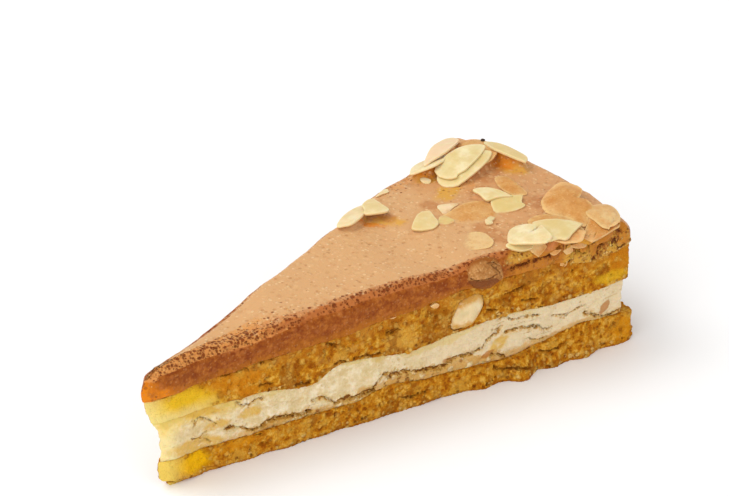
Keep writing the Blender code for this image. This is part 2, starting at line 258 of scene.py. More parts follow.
def fine_copy(node, name, voxel, open_top=False, crumbs=None):
    """One even fine mesh over a solid and its crumbs, coarser where the next layer hides it."""
    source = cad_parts[node].data
    points = np.array([corner.co[:] for corner in source.vertices])
    faces = np.array([face.vertices[:] for face in source.polygons])
    if crumbs is not None:
        faces = np.concatenate([faces, crumbs[1] + len(points)])
        points = np.concatenate([points, crumbs[0]])
    piece = new_piece(name, points.tolist(), faces.tolist())
    remesh = piece.modifiers.new("even", "REMESH")
    remesh.mode = "VOXEL"
    remesh.voxel_size = voxel * MM
    apply_modifiers(piece)
    spots, normals = corners_of(piece)
    hidden = (unroll(spots)[1] > SIDE_DEPTH) & (np.abs(normals[:, 2]) > 0.5)
    if open_top:
        hidden &= normals[:, 2] < 0
    thin_out = piece.modifiers.new("thin_out", "DECIMATE")
    thin_out.ratio = 0.05
    thin_out.vertex_group = chosen_group(piece, "hidden", hidden)
    thin_out.vertex_group_factor = 1.0
    apply_modifiers(piece)
    return piece


def apply_modifiers(piece):
    """Turn what the modifiers make into the piece's own smooth mesh."""
    graph = bpy.context.evaluated_depsgraph_get()
    data = bpy.data.meshes.new_from_object(piece.evaluated_get(graph))
    piece.modifiers.clear()
    old = piece.data
    piece.data = data
    bpy.data.meshes.remove(old)
    piece.vertex_groups.clear()
    data.name = piece.name
    data.shade_smooth()


def shade(colour):
    """A colour as it looks on a screen, from 0 to 255, as the light that it stands for."""
    parts = [part / 255 for part in colour]
    return [part / 12.92 if part < 0.04 else ((part + 0.055) / 1.055) ** 2.4 for part in parts] + [1]


def food_finish(name, shades, patch, mottle, rough, bumps, tints=(), specks=(), lines=(), glow=0.0,
                gloss=0.25):
    """A finish for food: shades that drift, a tint under each mask, specks, lines and grain.

    shades run from dark to light, patch is the size of their patches in mm, and mottle is the size
    and the share of the finer spots in them.  bumps are (size in mm, height in mm).  tints are
    (mask, colour, share, ragged), with ragged the size in mm of the tatters at their edges, minus
    that of their mottling, or 0.  specks are (mask or None, spacing in mm, radius as a share of it,
    how many show, colour, share, height in mm).  lines run along the cracks: (how many times as
    wide, how far below in mm, colour, share, height in mm).
    """
    material = bpy.data.materials.new(name)
    material.use_nodes = True
    nodes = material.node_tree.nodes
    darkest, lightest = 0.38, 0.62

    def fill(node, inputs):
        for socket, value in inputs.items():
            if isinstance(value, bpy.types.NodeSocket):
                material.node_tree.links.new(value, node.inputs[socket])
            else:
                node.inputs[socket].default_value = value

    def add(kind, inputs, **settings):
        node = nodes.new("ShaderNode" + kind)
        for setting, value in settings.items():
            setattr(node, setting, value)
        fill(node, inputs)
        return node.outputs

    def work_out(operation, first, second, third=0.0, clamp=False):
        return add("Math", {0: first, 1: second, 2: third}, operation=operation, use_clamp=clamp)[0]

    def cloud(size, detail, output="Fac"):
        inputs = {"Scale": 1 / (size * MM), "Detail": detail, "Roughness": 0.6, "Vector": place}
        return add("TexNoise", inputs)[output]

    def read(mask):
        return add("Attribute", {}, attribute_name=mask)["Fac"]

    def tinted(below, mask, share, colour):
        inputs = {"Factor": work_out("MULTIPLY", mask, share), "A": below, "B": shade(colour)}
        return add("Mix", inputs, data_type="RGBA")["Result"]

    place = add("TexCoord", {})["Object"]
    patches = work_out("MULTIPLY", cloud(patch, 5), 1 - mottle[1])
    spotted = work_out("MULTIPLY_ADD", cloud(mottle[0], 3), mottle[1], patches)
    ramp = nodes.new("ShaderNodeValToRGB")
    fill(ramp, {"Fac": spotted})
    stops = ramp.color_ramp.elements
    for index, colour in enumerate(shades):
        position = darkest + (lightest - darkest) * index / (len(shades) - 1)
        stop = stops[index] if index < 2 else stops.new(position)
        stop.position = position
        stop.color = shade(colour)
    colour_now = ramp.outputs["Color"]
    height_now = 0.0
    for mask, colour, share, ragged in tints:
        factor = read(mask)
        if ragged > 0:
            edge = work_out("MULTIPLY_ADD", cloud(ragged, 3), -2.6, 0.8)
            factor = work_out("MULTIPLY_ADD", factor, 2.0, edge, clamp=True)
        elif ragged < 0:
            mottled = work_out("MULTIPLY_ADD", cloud(-ragged, 3), 3.4, -0.6)
            factor = work_out("MULTIPLY", factor, mottled, clamp=True)
        colour_now = tinted(colour_now, factor, share, colour)
    for mask, spacing, radius, density, colour, share, height in specks:
        shift = {0: cloud(spacing * 0.6, 2, "Color"), 1: (spacing * 0.5 * MM,) * 3, 2: place}
        wobbled = add("VectorMath", shift, operation="MULTIPLY_ADD")["Vector"]
        cells = add("TexVoronoi", {"Scale": 1 / (spacing * MM), "Vector": wobbled})
        own = add("SeparateColor", {"Color": cells["Color"]})
        reach = work_out("MULTIPLY_ADD", own["Green"], radius * 0.6, radius * 0.6)
        spot = work_out("SUBTRACT", reach, cells["Distance"])
        spot = work_out("MULTIPLY", spot, 2.0 / radius, clamp=True)
        limit = density if mask is None else work_out("MULTIPLY", read(mask), density)
        spot = work_out("MULTIPLY", spot, work_out("LESS_THAN", own["Red"], limit))
        colour_now = tinted(colour_now, spot, share, colour)
        if height:
            height_now = work_out("MULTIPLY_ADD", spot, height, height_now)
    if lines:
        strayed = work_out("MULTIPLY_ADD", cloud(0.8, 4), 2.2, -1.1)
        ragged_width = work_out("MULTIPLY_ADD", cloud(0.9, 4), 6.0, -2.1)
    for widths, below, colour, share, height in lines:
        away = work_out("ADD", work_out("ADD", read("crack_off"), strayed), below)
        away = work_out("ABSOLUTE", away, 0.0)
        reach = work_out("MULTIPLY", work_out("MULTIPLY", read("crack_wide"), widths), ragged_width)
        line = work_out("MULTIPLY", work_out("SUBTRACT", reach, away), 7.0, clamp=True)
        colour_now = tinted(colour_now, line, share, colour)
        if height:
            height_now = work_out("MULTIPLY_ADD", line, height, height_now)
    for size, height in bumps:
        height_now = work_out("MULTIPLY_ADD", cloud(size, 3), height, height_now)
    fill(nodes["Principled BSDF"], {
        "Base Color": colour_now,
        "Roughness": rough,
        "Specular IOR Level": gloss,
        "Subsurface Weight": glow,
        "Subsurface Radius": (1, 0.5, 0.25),
        "Subsurface Scale": 1.2 * MM,
        "Normal": add("Bump", {"Distance": MM, "Height": height_now})["Normal"],
    })
    return material


def off_line(along, height, line):
    """Signed distance of each spot from a crooked line drawn on a side, and past its ends, in mm."""
    nearest = np.full(len(along), 99.0)
    beyond = np.zeros(len(along))
    for index, ((start, low), (end, high)) in enumerate(zip(line, line[1:])):
        run, rise = end - start, high - low
        length = math.hypot(run, rise)
        share = ((along - start) * run + (height - low) * rise) / length ** 2
        held = np.clip(share, 0, 1)
        u = along - start - held * run
        v = height - low - held * rise
        away = np.hypot(u, v) * np.where(run * v - rise * u < 0, -1, 1)
        closer = np.abs(away) < np.abs(nearest)
        nearest[closer] = away[closer]
        past = np.zeros(len(along))
        if index == 0:
            past = np.maximum(past, -share * length)
        if index == len(line) - 2:
            past = np.maximum(past, (share - 1) * length)
        beyond[closer] = past[closer]
    return nearest, beyond


def draw_lines(along, height, lines):
    """For every spot: how far off the nearest line it is, that line's width there, and a groove."""
    offset = np.full(len(along), 9.0)
    width = np.zeros(len(along))
    for wide, line in lines:
        away, beyond = off_line(along, height, line)
        closer = np.abs(away) < np.abs(offset)
        offset[closer] = away[closer]
        tapered = wide * (1 - ease(beyond, 0, 1.0)) * (1 - ease(np.abs(away), 1.2, 2.0))
        width[closer] = tapered[closer]
    groove = 1 - ease(np.abs(offset) / np.maximum(width, 0.05), 0.3, 1.6)
    return offset, width, groove


def ovals(along, height, shapes):
    """A mask over some ovals drawn on a side: (along, height, half length, half height, tilt)."""
    mask = np.zeros(len(along))
    for middle, level, half_length, half_height, tilt in shapes:
        sine, cosine = math.sin(math.radians(tilt)), math.cos(math.radians(tilt))
        u = (along - middle) * cosine + (height - level) * sine
        v = (height - level) * cosine - (along - middle) * sine
        reach = np.hypot(u / half_length, v / half_height)
        mask = np.maximum(mask, 1 - ease(reach, 0.6, 1.3))
    return mask


def tear(piece, salt, cracks, smooth_patches):
    """Tear the sides into crumb: lumps, crumbs, pits between them, and open cracks.

    smooth_patches are ovals where the crumb is soaked and smooth.  The knife smeared some of the
    crumb, which is lighter, and some of it is baked darker.  Returns the spots, moved, and where
    each lies: how far along, how deep, on which side and how high in the layer.
    """
    pit_depth, crack_depth, spared_when_soaked, spared_when_smeared = 0.42, 0.55, 0.85, 0.4
    spots, normals = corners_of(piece)
    along, depth, side = unroll(spots)
    share = layer_share(spots, along, side, depth)
    overhang = np.where(normals[:, 2] < 0, -1.8, 1.0)
    upright = side_mask(normals[:, 2] * overhang, depth)
    smeared = ease(waves(spots, 6.0, salt + 50) + 0.4 * waves(spots, 2.2, salt + 51), 0.0, 0.6)
    roasted = ease(-waves(spots, 5.0, salt + 50) + 0.5 * waves(spots, 1.8, salt + 52), 0.1, 0.7)
    lump = waves(spots, 3.4, salt + 10) * 0.17 + waves(spots, 1.6, salt + 11) * 0.14
    away, own = grains(stray(spots, 0.3, 1.0, salt), 0.95, salt + 20)
    crumb = (0.55 - away) * 0.34 * own
    pit = (own < 0.07) * ease(0.62 - away, 0, 0.35)
    soaked = ovals(along, spots[:, 2], smooth_patches) * (side == FRONT_CUT)
    wander = spots[:, 2] + 0.3 * waves(spots, 1.3, salt + 40)
    offset, width, groove = draw_lines(along, wander, cracks)
    rough = upright * (1 - spared_when_soaked * soaked) * (1 - spared_when_smeared * smeared)
    out = rough * (lump + crumb - pit_depth * pit) - upright * crack_depth * groove
    paint_cracks(piece, offset, width * upright)
    # The pits are painted darker, as painted shade, and the raised lumps lighter, as painted highlight.
    paint(
        piece,
        pit=rough * ease(-out, 0.14, 0.55),
        lump=rough * ease(out, 0.0, 0.30),
        smeared=smeared * upright,
        roasted=roasted * upright,
    )
    moved = spots + normals * out[:, None]
    moved[:, 2] += LAYER_GAP * ease(share, 0.7, 1.0)
    return moved, along, depth, side, share


BASE_CRACKS = (
    (0.16, ((14, 6.6), (17, 5.9), (21, 6.0), (24, 5.4))),
    (0.22, ((83.5, 4.2), (85.5, 3.2), (89, 3.0), (92, 2.2))),
    (0.16, ((60, 3.4), (63, 2.9), (66, 3.3))),
    (0.16, ((96, 4.6), (99, 4.1), (103, 4.6))),
)
SOAKED_BASE = ((10.5, 4.6, 5.0, 2.2, -8), (19, 4.9, 3.4, 1.3, 0), (2.0, 3.6, 4.6, 3.6, 0),
               (119.0, 3.4, 2.6, 2.4, 0))

LOWEST_TOP = 0.4
LOWEST = 0.02
crumbs = scattered_crumbs("base_sponge", count=1300, sizes=(0.3, 0.85), seed=11)
base = fine_copy("base_sponge", "base_sponge_crumb", voxel=0.25, crumbs=crumbs)
moved, along, depth, side, share = tear(base, 100, BASE_CRACKS, SOAKED_BASE)
facing_up = corners_of(base)[1][:, 2] > 0.1
moved[:, 2] = np.maximum(moved[:, 2], np.where(facing_up, LOWEST_TOP, LOWEST))
move_corners(base, moved)
on_front = side == FRONT_CUT
height = moved[:, 2] + 0.5 * waves(moved, 2.0, 150)
tip = (1 - ease(along, 0.0, 6.0)) * (side != RIM) * (moved[:, 0] < 12)
orange = ovals(along, height, ((17.5, 4.9, 5.0, 1.5, 0), (118.6, 3.6, 2.8, 3.4, 0))) * on_front
golden = ovals(along, height + 0.6 * waves(moved, 3.5, 152), ((6.5, 4.2, 5.0, 2.6, -8),)) * on_front
# The low ledge of crumb, where raised light specks are painted highlights and sunk dark ones shade.
ledge = 1 - ease(moved[:, 2] + 0.4 * waves(moved, 1.8, 151), 0.6, 2.6)
underside = ease(-moved[:, 2], -1.0, 0.0) * (1 - tip)
paint(
    base,
    tip=tip,
    orange=orange,
    golden=golden,
    ledge=ledge * (1 - tip) * 0.7,
    crumbly=1 - np.maximum.reduce([tip, golden, 0.7 * orange]),
    toasted=np.maximum(underside, (side == RIM) * ease(-depth, -0.8, 1.0) * 0.5),
)
CRUMB_SHADES = ((154, 82, 6), (184, 112, 14), (204, 140, 32), (228, 176, 76))
CRUMB_BUMPS = ((1.6, 1.1), (0.6, 0.45))
# Raised light specks are painted highlights and sunk dark ones painted shade, over the crumb's own bits.
CRUMB_SPECKS = (
    ("crumbly", 2.8, 0.6, 0.30, (216, 158, 52), 0.5, 0.35),
    ("crumbly", 2.2, 0.5, 0.25, (148, 80, 8), 0.42, -0.35),
    ("crumbly", 1.2, 0.6, 0.35, (230, 182, 88), 0.42, 0.30),
    ("crumbly", 0.9, 0.5, 0.14, (140, 74, 8), 0.38, -0.30),
    ("ledge", 1.1, 0.6, 0.55, (240, 200, 118), 0.7, 0.4),
    ("ledge", 0.9, 0.45, 0.25, (138, 72, 8), 0.6, -0.4),
)
base.data.materials.append(food_finish(
    "base_sponge_crumb", CRUMB_SHADES, patch=1.5, mottle=(0.8, 0.3), rough=0.7, bumps=CRUMB_BUMPS,
    tints=(
        ("smeared", (214, 158, 54), 0.75, 1.3),
        ("roasted", (140, 74, 8), 0.6, 1.0),
        # Painted highlight on the raised lumps, and painted shade in the pits.
        ("lump", (222, 168, 62), 0.45, 0.8),
        ("toasted", (168, 96, 14), 0.5, 1.2),
        ("pit", (136, 74, 8), 0.5, -0.8),
        ("orange", (214, 140, 16), 0.75, -2.2),
        ("golden", (240, 182, 8), 0.92, 0),
        ("tip", (242, 208, 98), 0.95, 0),
    ),
    specks=CRUMB_SPECKS,
    lines=(
        (2.4, 0.1, (166, 98, 16), 0.55, -0.1),
        (0.8, 0.0, (120, 62, 6), 0.7, -0.25),
    ),
    glow=0.12, gloss=0.06,
))
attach(base, "root")
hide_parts("base_sponge")


# Cream filling.
# Firm pale cream, cut clean by the knife but flaky: it splits along crooked level cracks, where
# the brown crust of the baked cheese shows.  Fine mesh, with the cracks drawn into it.
CREAM_CRACKS = (
    (0.10, ((6.9, 13.1), (7.6, 14.3), (8.8, 14.6), (10.5, 13.8), (11.9, 12.7), (13.0, 11.6))),
    (0.16, ((6.6, 10.2), (8.5, 9.6), (10.4, 10.4))),
    (0.08, ((8.9, 8.2), (10.4, 8.4), (11.5, 7.7))),
    (0.14, ((17.8, 15.3), (18.8, 14.4), (21.4, 13.5), (23.1, 14.2), (24.8, 14.2))),
    (0.20, ((15.4, 9.4), (16.6, 9.6), (18.5, 8.8), (20.6, 7.8), (22.3, 7.1), (23.9, 7.3))),
    (0.36, ((24.2, 7.5), (25.6, 8.2), (27.8, 8.4), (29.9, 7.9), (32.1, 7.5), (34.5, 7.1), (36.7, 7.1))),
    (0.16, ((37.2, 9.7), (39.1, 9.8), (41.1, 9.2), (43.0, 7.4))),
    (0.44, ((43.0, 7.4), (44.8, 8.0), (47.9, 7.5), (50.4, 7.6), (52.8, 7.4))),
    (0.18, ((52.6, 8.3), (53.6, 9.6), (55.0, 10.7), (56.5, 11.0))),
    (0.40, ((56.9, 9.3), (57.8, 10.1), (60.5, 9.8), (64.2, 8.9), (67.2, 8.5), (71.7, 8.0))),
    (0.26, ((72.1, 9.4), (74.2, 9.5), (76.7, 9.4), (78.4, 8.9))),
    (0.16, ((78.7, 9.4), (80.7, 9.7), (82.7, 11.6), (84.9, 12.7), (86.2, 13.3))),
    (0.20, ((87.2, 11.7), (89.2, 11.8), (91.8, 11.7), (93.1, 11.0), (96.1, 11.0))),
    (0.10, ((85.4, 15.1), (86.6, 15.7), (89.2, 14.4), (92.5, 14.1), (95.8, 13.9))),
    (0.28, ((83.5, 7.1), (85.0, 6.7), (86.8, 5.8))),
    (0.13, ((93.3, 11.6), (95.9, 11.3), (96.9, 9.7), (99.5, 9.3))),
    (0.10, ((99.7, 12.4), (103.0, 11.4), (104.9, 12.2), (108.3, 12.8))),
    (0.24, ((108.3, 10.5), (110.5, 9.6), (112.3, 8.6), (114.7, 7.8), (117.4, 8.4))),
    (0.12, ((93, 8.3), (95.5, 7.4), (98.2, 7.2))),
)
BROWN_PATCHES = ((82.2, 7.4, 2.1, 0.8, 12), (72.0, 9.1, 1.4, 0.6, 0), (113.5, 10.5, 2.0, 1.1, 42))
YELLOW_PATCHES = ((85.4, 9.3, 3.0, 1.5, 36), (21.5, 11.6, 2.8, 1.3, 0), (9.0, 15.6, 6.0, 1.0, -14),
                  (8.0, 7.8, 7.0, 1.9, -6), (13.0, 11.2, 3.2, 1.2, 0))
LONG_CRACK = ((22, 7.0), (24, 7.6), (28, 8.4), (37, 7.2), (43, 7.4), (48, 7.6), (53, 7.4), (57, 9.2),
              (61, 9.8), (68, 8.5), (76, 9.4), (83, 7.4), (87, 6.4))
SHEETED = np.array((1, 1, 3.2))
CRUMBLED = np.array((0.6, 0.6, 1.0))


def follow(along, line):
    """The height, or width, that a line gives for each distance along."""
    return np.interp(along, *zip(*line))


cream = fine_copy("cream_filling", "cream_flaky", voxel=0.24)
spots, normals = corners_of(cream)
along, depth, side = unroll(spots)
on_front = side == FRONT_CUT
share = layer_share(spots, along, side, depth)
upright = side_mask(np.abs(normals[:, 2]), depth)
wander = spots[:, 2] + 0.28 * waves(spots, 1.0, 201)
offset, width, groove = draw_lines(along, wander, CREAM_CRACKS)
flaky = (1 - ease(np.abs(offset), 0.3, 1.9)) * ease(width, 0.0, 0.3)
level = spots * SHEETED
sheets = waves(level, 3.6, 210) * 0.24 + waves(level, 1.6, 211) * 0.16
hairline = (1 - ease(np.abs(waves(level, 3.0, 212)), 0.0, 0.04)) * ease(waves(spots, 7, 213), 0.1, 0.5)
crumble, own = grains(spots, 0.7, 214)
under = ease(follow(along, LONG_CRACK) + 0.3 * waves(spots, 1.5, 219) - spots[:, 2], 0.0, 0.5)
under *= ease(along, 22, 26) * (1 - ease(along, 82, 88)) * on_front
chunks, chunk_own = grains(spots * CRUMBLED, 1.3, 221)
sheets += under * (0.5 - chunks) * 0.8 * chunk_own
out = sheets - 0.5 * groove - 0.16 * hairline + flaky * (0.45 - crumble) * 0.4 * own
moved = spots + normals * (out * upright)[:, None]
moved[:, 2] += LAYER_GAP * ease(share, 0.7, 1.0)
move_corners(cream, moved)
soaked_top = ease(share + 0.2 * waves(spots, 3.5, 215), 0.84, 1.0)
near_tip = (1 - ease(along, 12, 22)) * on_front
low = (1 - ease(share + 0.15 * waves(spots, 3.0, 218), 0.08, 0.3)) * on_front
paint_cracks(cream, offset, width * upright)
paint(
    cream,
    hairline=upright * hairline,
    flaky=upright * flaky * ease(waves(spots, 1.3, 216), -0.3, 0.5),
    brown=ovals(along, wander, BROWN_PATCHES) * on_front,
    yellow=ovals(along, wander, YELLOW_PATCHES) * on_front,
    soaked_top=soaked_top * (1 - ease(along, 88, 98) * on_front),
    white=ease(along + 6 * waves(spots, 8, 217), 30, 90) * on_front,
    far_left=(1 - ease(along, 0.5, 4.5)) * (side != RIM),
    under=under,
    top_glow=near_tip * ease(share + 0.1 * waves(spots, 3.0, 220), 0.55, 1.0),
    low=low * ease(along, 10, 22),
)
cream.data.materials.append(food_finish(
    "cream", ((210, 184, 132), (223, 201, 156), (238, 222, 190)), patch=2.6, mottle=(0.8, 0.35),
    rough=0.55, bumps=((2.2, 0.7), (0.8, 0.28)),
    tints=(
        ("white", (225, 204, 166), 0.7, 3.0),
        ("far_left", (243, 224, 158), 0.8, 0),
        ("top_glow", (232, 194, 84), 0.7, -2.0),
        ("soaked_top", (208, 176, 78), 0.42, 1.6),
        ("yellow", (214, 168, 66), 0.8, -1.4),
        ("low", (204, 154, 76), 0.7, 0.9),
        ("hairline", (190, 142, 70), 0.6, 0),
        ("flaky", (216, 176, 112), 0.45, 0.8),
        ("under", (208, 160, 84), 0.75, 1.4),
        ("brown", (180, 112, 40), 0.75, 0.9),
    ),
    specks=(
        (None, 1.6, 0.22, 0.16, (186, 150, 84), 0.6, -0.1),
        ("flaky", 0.8, 0.5, 0.4, (194, 140, 64), 0.5, -0.2),
        ("flaky", 1.0, 0.5, 0.4, (236, 214, 174), 0.6, 0.25),
        ("under", 1.9, 0.65, 0.60, (238, 216, 168), 0.85, 0.45),
        ("under", 1.1, 0.6, 0.35, (226, 186, 116), 0.8, 0.3),
        ("under", 1.2, 0.5, 0.34, (150, 86, 22), 0.75, -0.35),
    ),
    lines=(
        (2.4, 0.30, (206, 160, 72), 0.55, 0.0),
        (1.3, 0.15, (180, 122, 38), 0.8, -0.1),
        (0.6, 0.0, (118, 62, 10), 0.85, -0.3),
    ),
    glow=0.3, gloss=0.1,
))
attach(cream, "root")
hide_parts("cream_filling")


# Upper sponge.
# The thicker sponge under the topping, with a moist orange-yellow tip.  Torn like the base, with
# deep pits, a crack along its underside and a crevice at the rim.
UPPER_CRACKS = (
    (0.34, ((32.8, 15.5), (34.4, 15.2), (36.1, 14.7))),
    (0.14, ((40.7, 23.1), (42.8, 22.4))),
    (0.40, ((55.9, 21.3), (57.5, 21.5), (58.8, 21.3))),
    (0.20, ((42.6, 17.6), (43.9, 17.8), (45.5, 17.2))),
    (0.18, ((47.5, 17.4), (50.8, 17.1), (54.1, 16.8))),
    (0.20, ((24.1, 23.5), (25.4, 23.9), (26.9, 23.6))),
    (0.12, ((14.2, 23.4), (16.3, 23.1), (18.4, 23.3), (20.9, 22.8))),
    (0.16, ((23.8, 17.9), (26.7, 17.8))),
    (0.22, ((86.6, 21.9), (88.7, 22.3), (91.0, 22.6))),
    (0.14, ((91.1, 19.3), (94.8, 18.6))),
    (0.22, ((82.0, 19.6), (84.0, 19.0))),
    (0.34, ((109.5, 24.3), (111.3, 25.7), (112.1, 26.8), (113.9, 27.6), (115.6, 28.3))),
)
SOAKED_UPPER = ((4.5, 19.8, 8.0, 3.8, -6), (14.5, 20.0, 4.5, 2.6, -12), (21.5, 17.5, 2.2, 0.9, -10),
                (114, 18.6, 5.5, 1.4, 0))
crumbs = scattered_crumbs("upper_sponge", count=700, sizes=(0.3, 0.8), seed=12)
upper = fine_copy("upper_sponge", "upper_sponge_crumb", voxel=0.26, crumbs=crumbs)
moved, along, depth, side, share = tear(upper, 300, UPPER_CRACKS, SOAKED_UPPER)
move_corners(upper, moved)
on_front = side == FRONT_CUT
height = moved[:, 2] + 0.5 * waves(moved, 2.2, 350)
amber = ovals(along, height, ((20.5, 17.6, 3.2, 1.5, -10), (17, 20.8, 9, 2.4, 0), (117, 22, 2.6, 4.5, 0)))
custard = ovals(along, height + 0.8 * waves(moved, 4.0, 352), ((4.5, 19.4, 9.5, 3.8, -12),))
custard = np.maximum(custard, 0.55 * ovals(along, height, ((115, 18.2, 5.0, 1.5, -8),)))
tip = (1 - ease(along + 0.5 * (height - 18), -4.0, 3.5)) * (side != RIM) * (moved[:, 0] < 12)
creamy = (1 - ease(share + 0.12 * waves(moved, 3.0, 353), 0.12, 0.55)) * (1 - ease(along, 6, 16))
# The low ledge by the cream: raised light specks there are painted highlights, sunk dark ones shade.
ledge = 1 - ease(share + 0.06 * waves(moved, 1.8, 351), 0.05, 0.22)
paint(
    upper,
    amber=amber * on_front,
    custard=custard * on_front,
    toasted=(side == RIM) * ease(-depth, -0.8, 1.0),
    stained=ease(share + 0.12 * waves(moved, 2.5, 320), 0.66, 0.98),
    tip=tip,
    creamy=creamy * on_front,
    ledge=ledge * ease(along, 24, 34) * on_front,
    crumbly=1 - np.maximum.reduce([tip, custard * on_front, 0.6 * amber * on_front]),
)
upper.data.materials.append(food_finish(
    "upper_sponge_crumb", CRUMB_SHADES, patch=1.8, mottle=(0.8, 0.3), rough=0.7, bumps=CRUMB_BUMPS,
    tints=(
        ("smeared", (214, 158, 62), 0.75, 1.3),
        ("roasted", (142, 76, 8), 0.6, 1.0),
        # Painted highlight on the raised lumps, and painted shade in the pits.
        ("lump", (226, 176, 82), 0.4, 0.8),
        ("toasted", (162, 88, 14), 0.6, 1.2),
        ("pit", (136, 74, 8), 0.5, -0.8),
        ("stained", (178, 106, 26), 0.6, -1.4),
        ("amber", (204, 126, 18), 0.75, -2.2),
        ("custard", (235, 188, 36), 0.95, 0),
        ("creamy", (236, 208, 130), 0.85, 0),
        ("tip", (247, 224, 136), 0.92, 0),
    ),
    specks=CRUMB_SPECKS,
    lines=(
        (2.6, 0.1, (166, 96, 14), 0.55, -0.1),
        (0.9, 0.0, (120, 62, 6), 0.7, -0.25),
    ),
    glow=0.12, gloss=0.06,
))
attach(upper, "root")
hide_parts("upper_sponge")


# Nut chunk.
# A blanched piece of nut in the cut face of the upper sponge, sliced smooth by the knife.
# Its solid is taken over as a fine mesh that swells a little out of the cut, with a worn edge.
CHUNK_OVAL = (76.6, 20.5, 4.2, 2.2, 22)
chunk = fine_copy("nut_chunk", "nut_chunk_blanched", voxel=0.2)
spots, normals = corners_of(chunk)
out = 0.26 + 0.2 * waves(spots, 2.2, 401) + 0.08 * waves(spots, 0.8, 402)
move_corners(chunk, spots + normals * out[:, None])
along = unroll(spots)[0]
ragged = spots[:, 2] + 0.5 * waves(spots, 1.6, 403)
paint(
    chunk,
    soaked=1 - ease(ovals(along, ragged, (CHUNK_OVAL,)), 0.1, 0.9),
    sliced=ovals(along, ragged, ((75.2, 20.6, 1.6, 1.0, 30), (78.4, 20.0, 1.2, 1.0, 60))),
)
chunk.data.materials.append(food_finish(
    "blanched_nut", ((226, 200, 150), (236, 214, 172)), patch=3.0, mottle=(0.8, 0.3),
    rough=0.5, bumps=((0.9, 0.25), (0.3, 0.06)),
    tints=(("sliced", (210, 188, 138), 0.7, -1.2), ("soaked", (206, 150, 56), 0.9, -1.2)),
    glow=0.35,
))
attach(chunk, "root")
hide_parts("nut_chunk")


# Caramel topping.
# Set caramel, poured over the whole top: a matt tan skin above, painted lighter and paler where it
# faces up as a painted sheen, red-brown where it was cut, full of small burst bubbles along the front
# edge, and thin enough at the nose to glow.  Its solid holds the coated slices; here it runs level,
# and they lie on it as pieces of their own.
EDGE_RADIUS = 1.8
MAP_START = (-8, -38)
MAP_SIZE = (136, 76)
SLICE_REACH = 8
LEVEL_FROM = 74
PROUD = 0.12
CARAMEL_CRACK_DEPTH = 0.5
CREASE = ((0, 31.2), (20, 30.5), (34, 32.0), (60, 32.5), (71, 31.7), (82, 32.7), (107, 32.3), (120, 31.2))
BUBBLE_BAND = ((0, 3.5), (12, 4.4), (34, 3.2), (50, 2.6), (70, 2.2), (90, 1.9))
BROKEN_LIP = ((86, 24.6), (91, 25.4), (95, 25.8), (98, 25.2), (101, 25.8), (105, 26.8), (107.5, 27.0),
              (109.5, 24.6), (111, 25.6), (112.6, 26.9), (114.3, 27.2), (116, 28.4), (120, 30.0))
CARAMEL_CRACKS = (
    (0.40, ((109.6, 24.4), (111.4, 25.9), (112.6, 27.0), (114.3, 27.3), (115.8, 28.6), (117.0, 29.4))),
    (0.26, ((84.6, 28.8), (87.0, 28.5), (90.6, 28.6), (93.0, 29.0), (96.3, 28.9), (100.7, 28.9))),
    (0.16, ((101.4, 28.7), (102.8, 28.3), (104.4, 28.2), (106.4, 28.6), (108.4, 29.8))),
    (0.12, ((93.6, 24.9), (97.6, 24.8), (99.6, 25.5), (102.4, 25.5), (104.5, 26.4), (107.3, 26.6))),
    (0.14, ((114.4, 26.2), (116.0, 25.6), (118.0, 25.9))),
)
# Painted glow under the raised slices, as plan ovals; the first list also holds a yellow stain.
HONEY_PATCHES = ((97.4, 18.2, 3.2, 3.6, 0), (95.8, 8.7, 5.4, 2.6, 25), (114.7, 9.0, 4.0, 6.0, 0),
                 (76, 9.6, 5.0, 2.0, -60), (102.5, -26.5, 4, 2, -20))
AMBER_PATCHES = ((97.8, 18.6, 2.2, 2.4, 0), (114.9, 10.6, 3.2, 4.4, 0), (72.5, 11.4, 4.5, 1.0, -60))
# Painted shade on the top beside the slices, as plan ovals.
DUSKY_PATCHES = ((108, 8.4, 5.2, 3.0, 20), (77.3, 9.6, 1.6, 2.4, 0), (87.8, 6.6, 2.0, 2.6, 0),
                 (88, -12, 2.5, 5, 0), (106, -9, 3.0, 3.0, 0), (101, 4, 3, 2, 0))
CLEAR_PATCHES = ((117.6, 28.6, 2.4, 2.8, 0), (107, 27.9, 3.0, 0.9, 20))
ROSY_PATCHES = ((104, 29.6, 3.0, 1.4, -8), (98, 31.0, 2.0, 0.8, 0))
# The top's colour: its matt tan skin with a painted sheen in it.
SKIN_SHADE = (215, 166, 114)


def spread(level, reach, pick):
    """For every cell of a height map, the pick of all the cells within reach."""
    padded = np.pad(level, reach, constant_values=np.nan)
    steps = itertools.product(range(2 * reach + 1), repeat=2)
    return pick([padded[i:i + level.shape[0], j:j + level.shape[1]] for i, j in steps], axis=0)


def average(views, axis):
    count = np.sum(~np.isnan(views), axis=axis)
    return np.where(count > 0, np.nansum(views, axis=axis) / np.maximum(count, 1), 99)


def own_surface(x, y, z, facing_up):
    """How high the caramel itself is at each spot, without the slices that its solid holds."""
    level = np.full(MAP_SIZE, -99.0)
    cells = (x[facing_up] - MAP_START[0]).astype(int), (y[facing_up] - MAP_START[1]).astype(int)
    np.maximum.at(level, cells, z[facing_up])
    level[level < 0] = np.nan
    level = spread(spread(level, SLICE_REACH, np.fmin.reduce), SLICE_REACH, np.fmax.reduce)
    level = spread(level, 3, average)
    u = np.clip(x - MAP_START[0] - 0.5, 0, MAP_SIZE[0] - 2)
    v = np.clip(y - MAP_START[1] - 0.5, 0, MAP_SIZE[1] - 2)
    i, j = u.astype(int), v.astype(int)
    u, v = u - i, v - j
    return ((level[i, j] * (1 - u) + level[i + 1, j] * u) * (1 - v)
            + (level[i, j + 1] * (1 - u) + level[i + 1, j + 1] * u) * v)


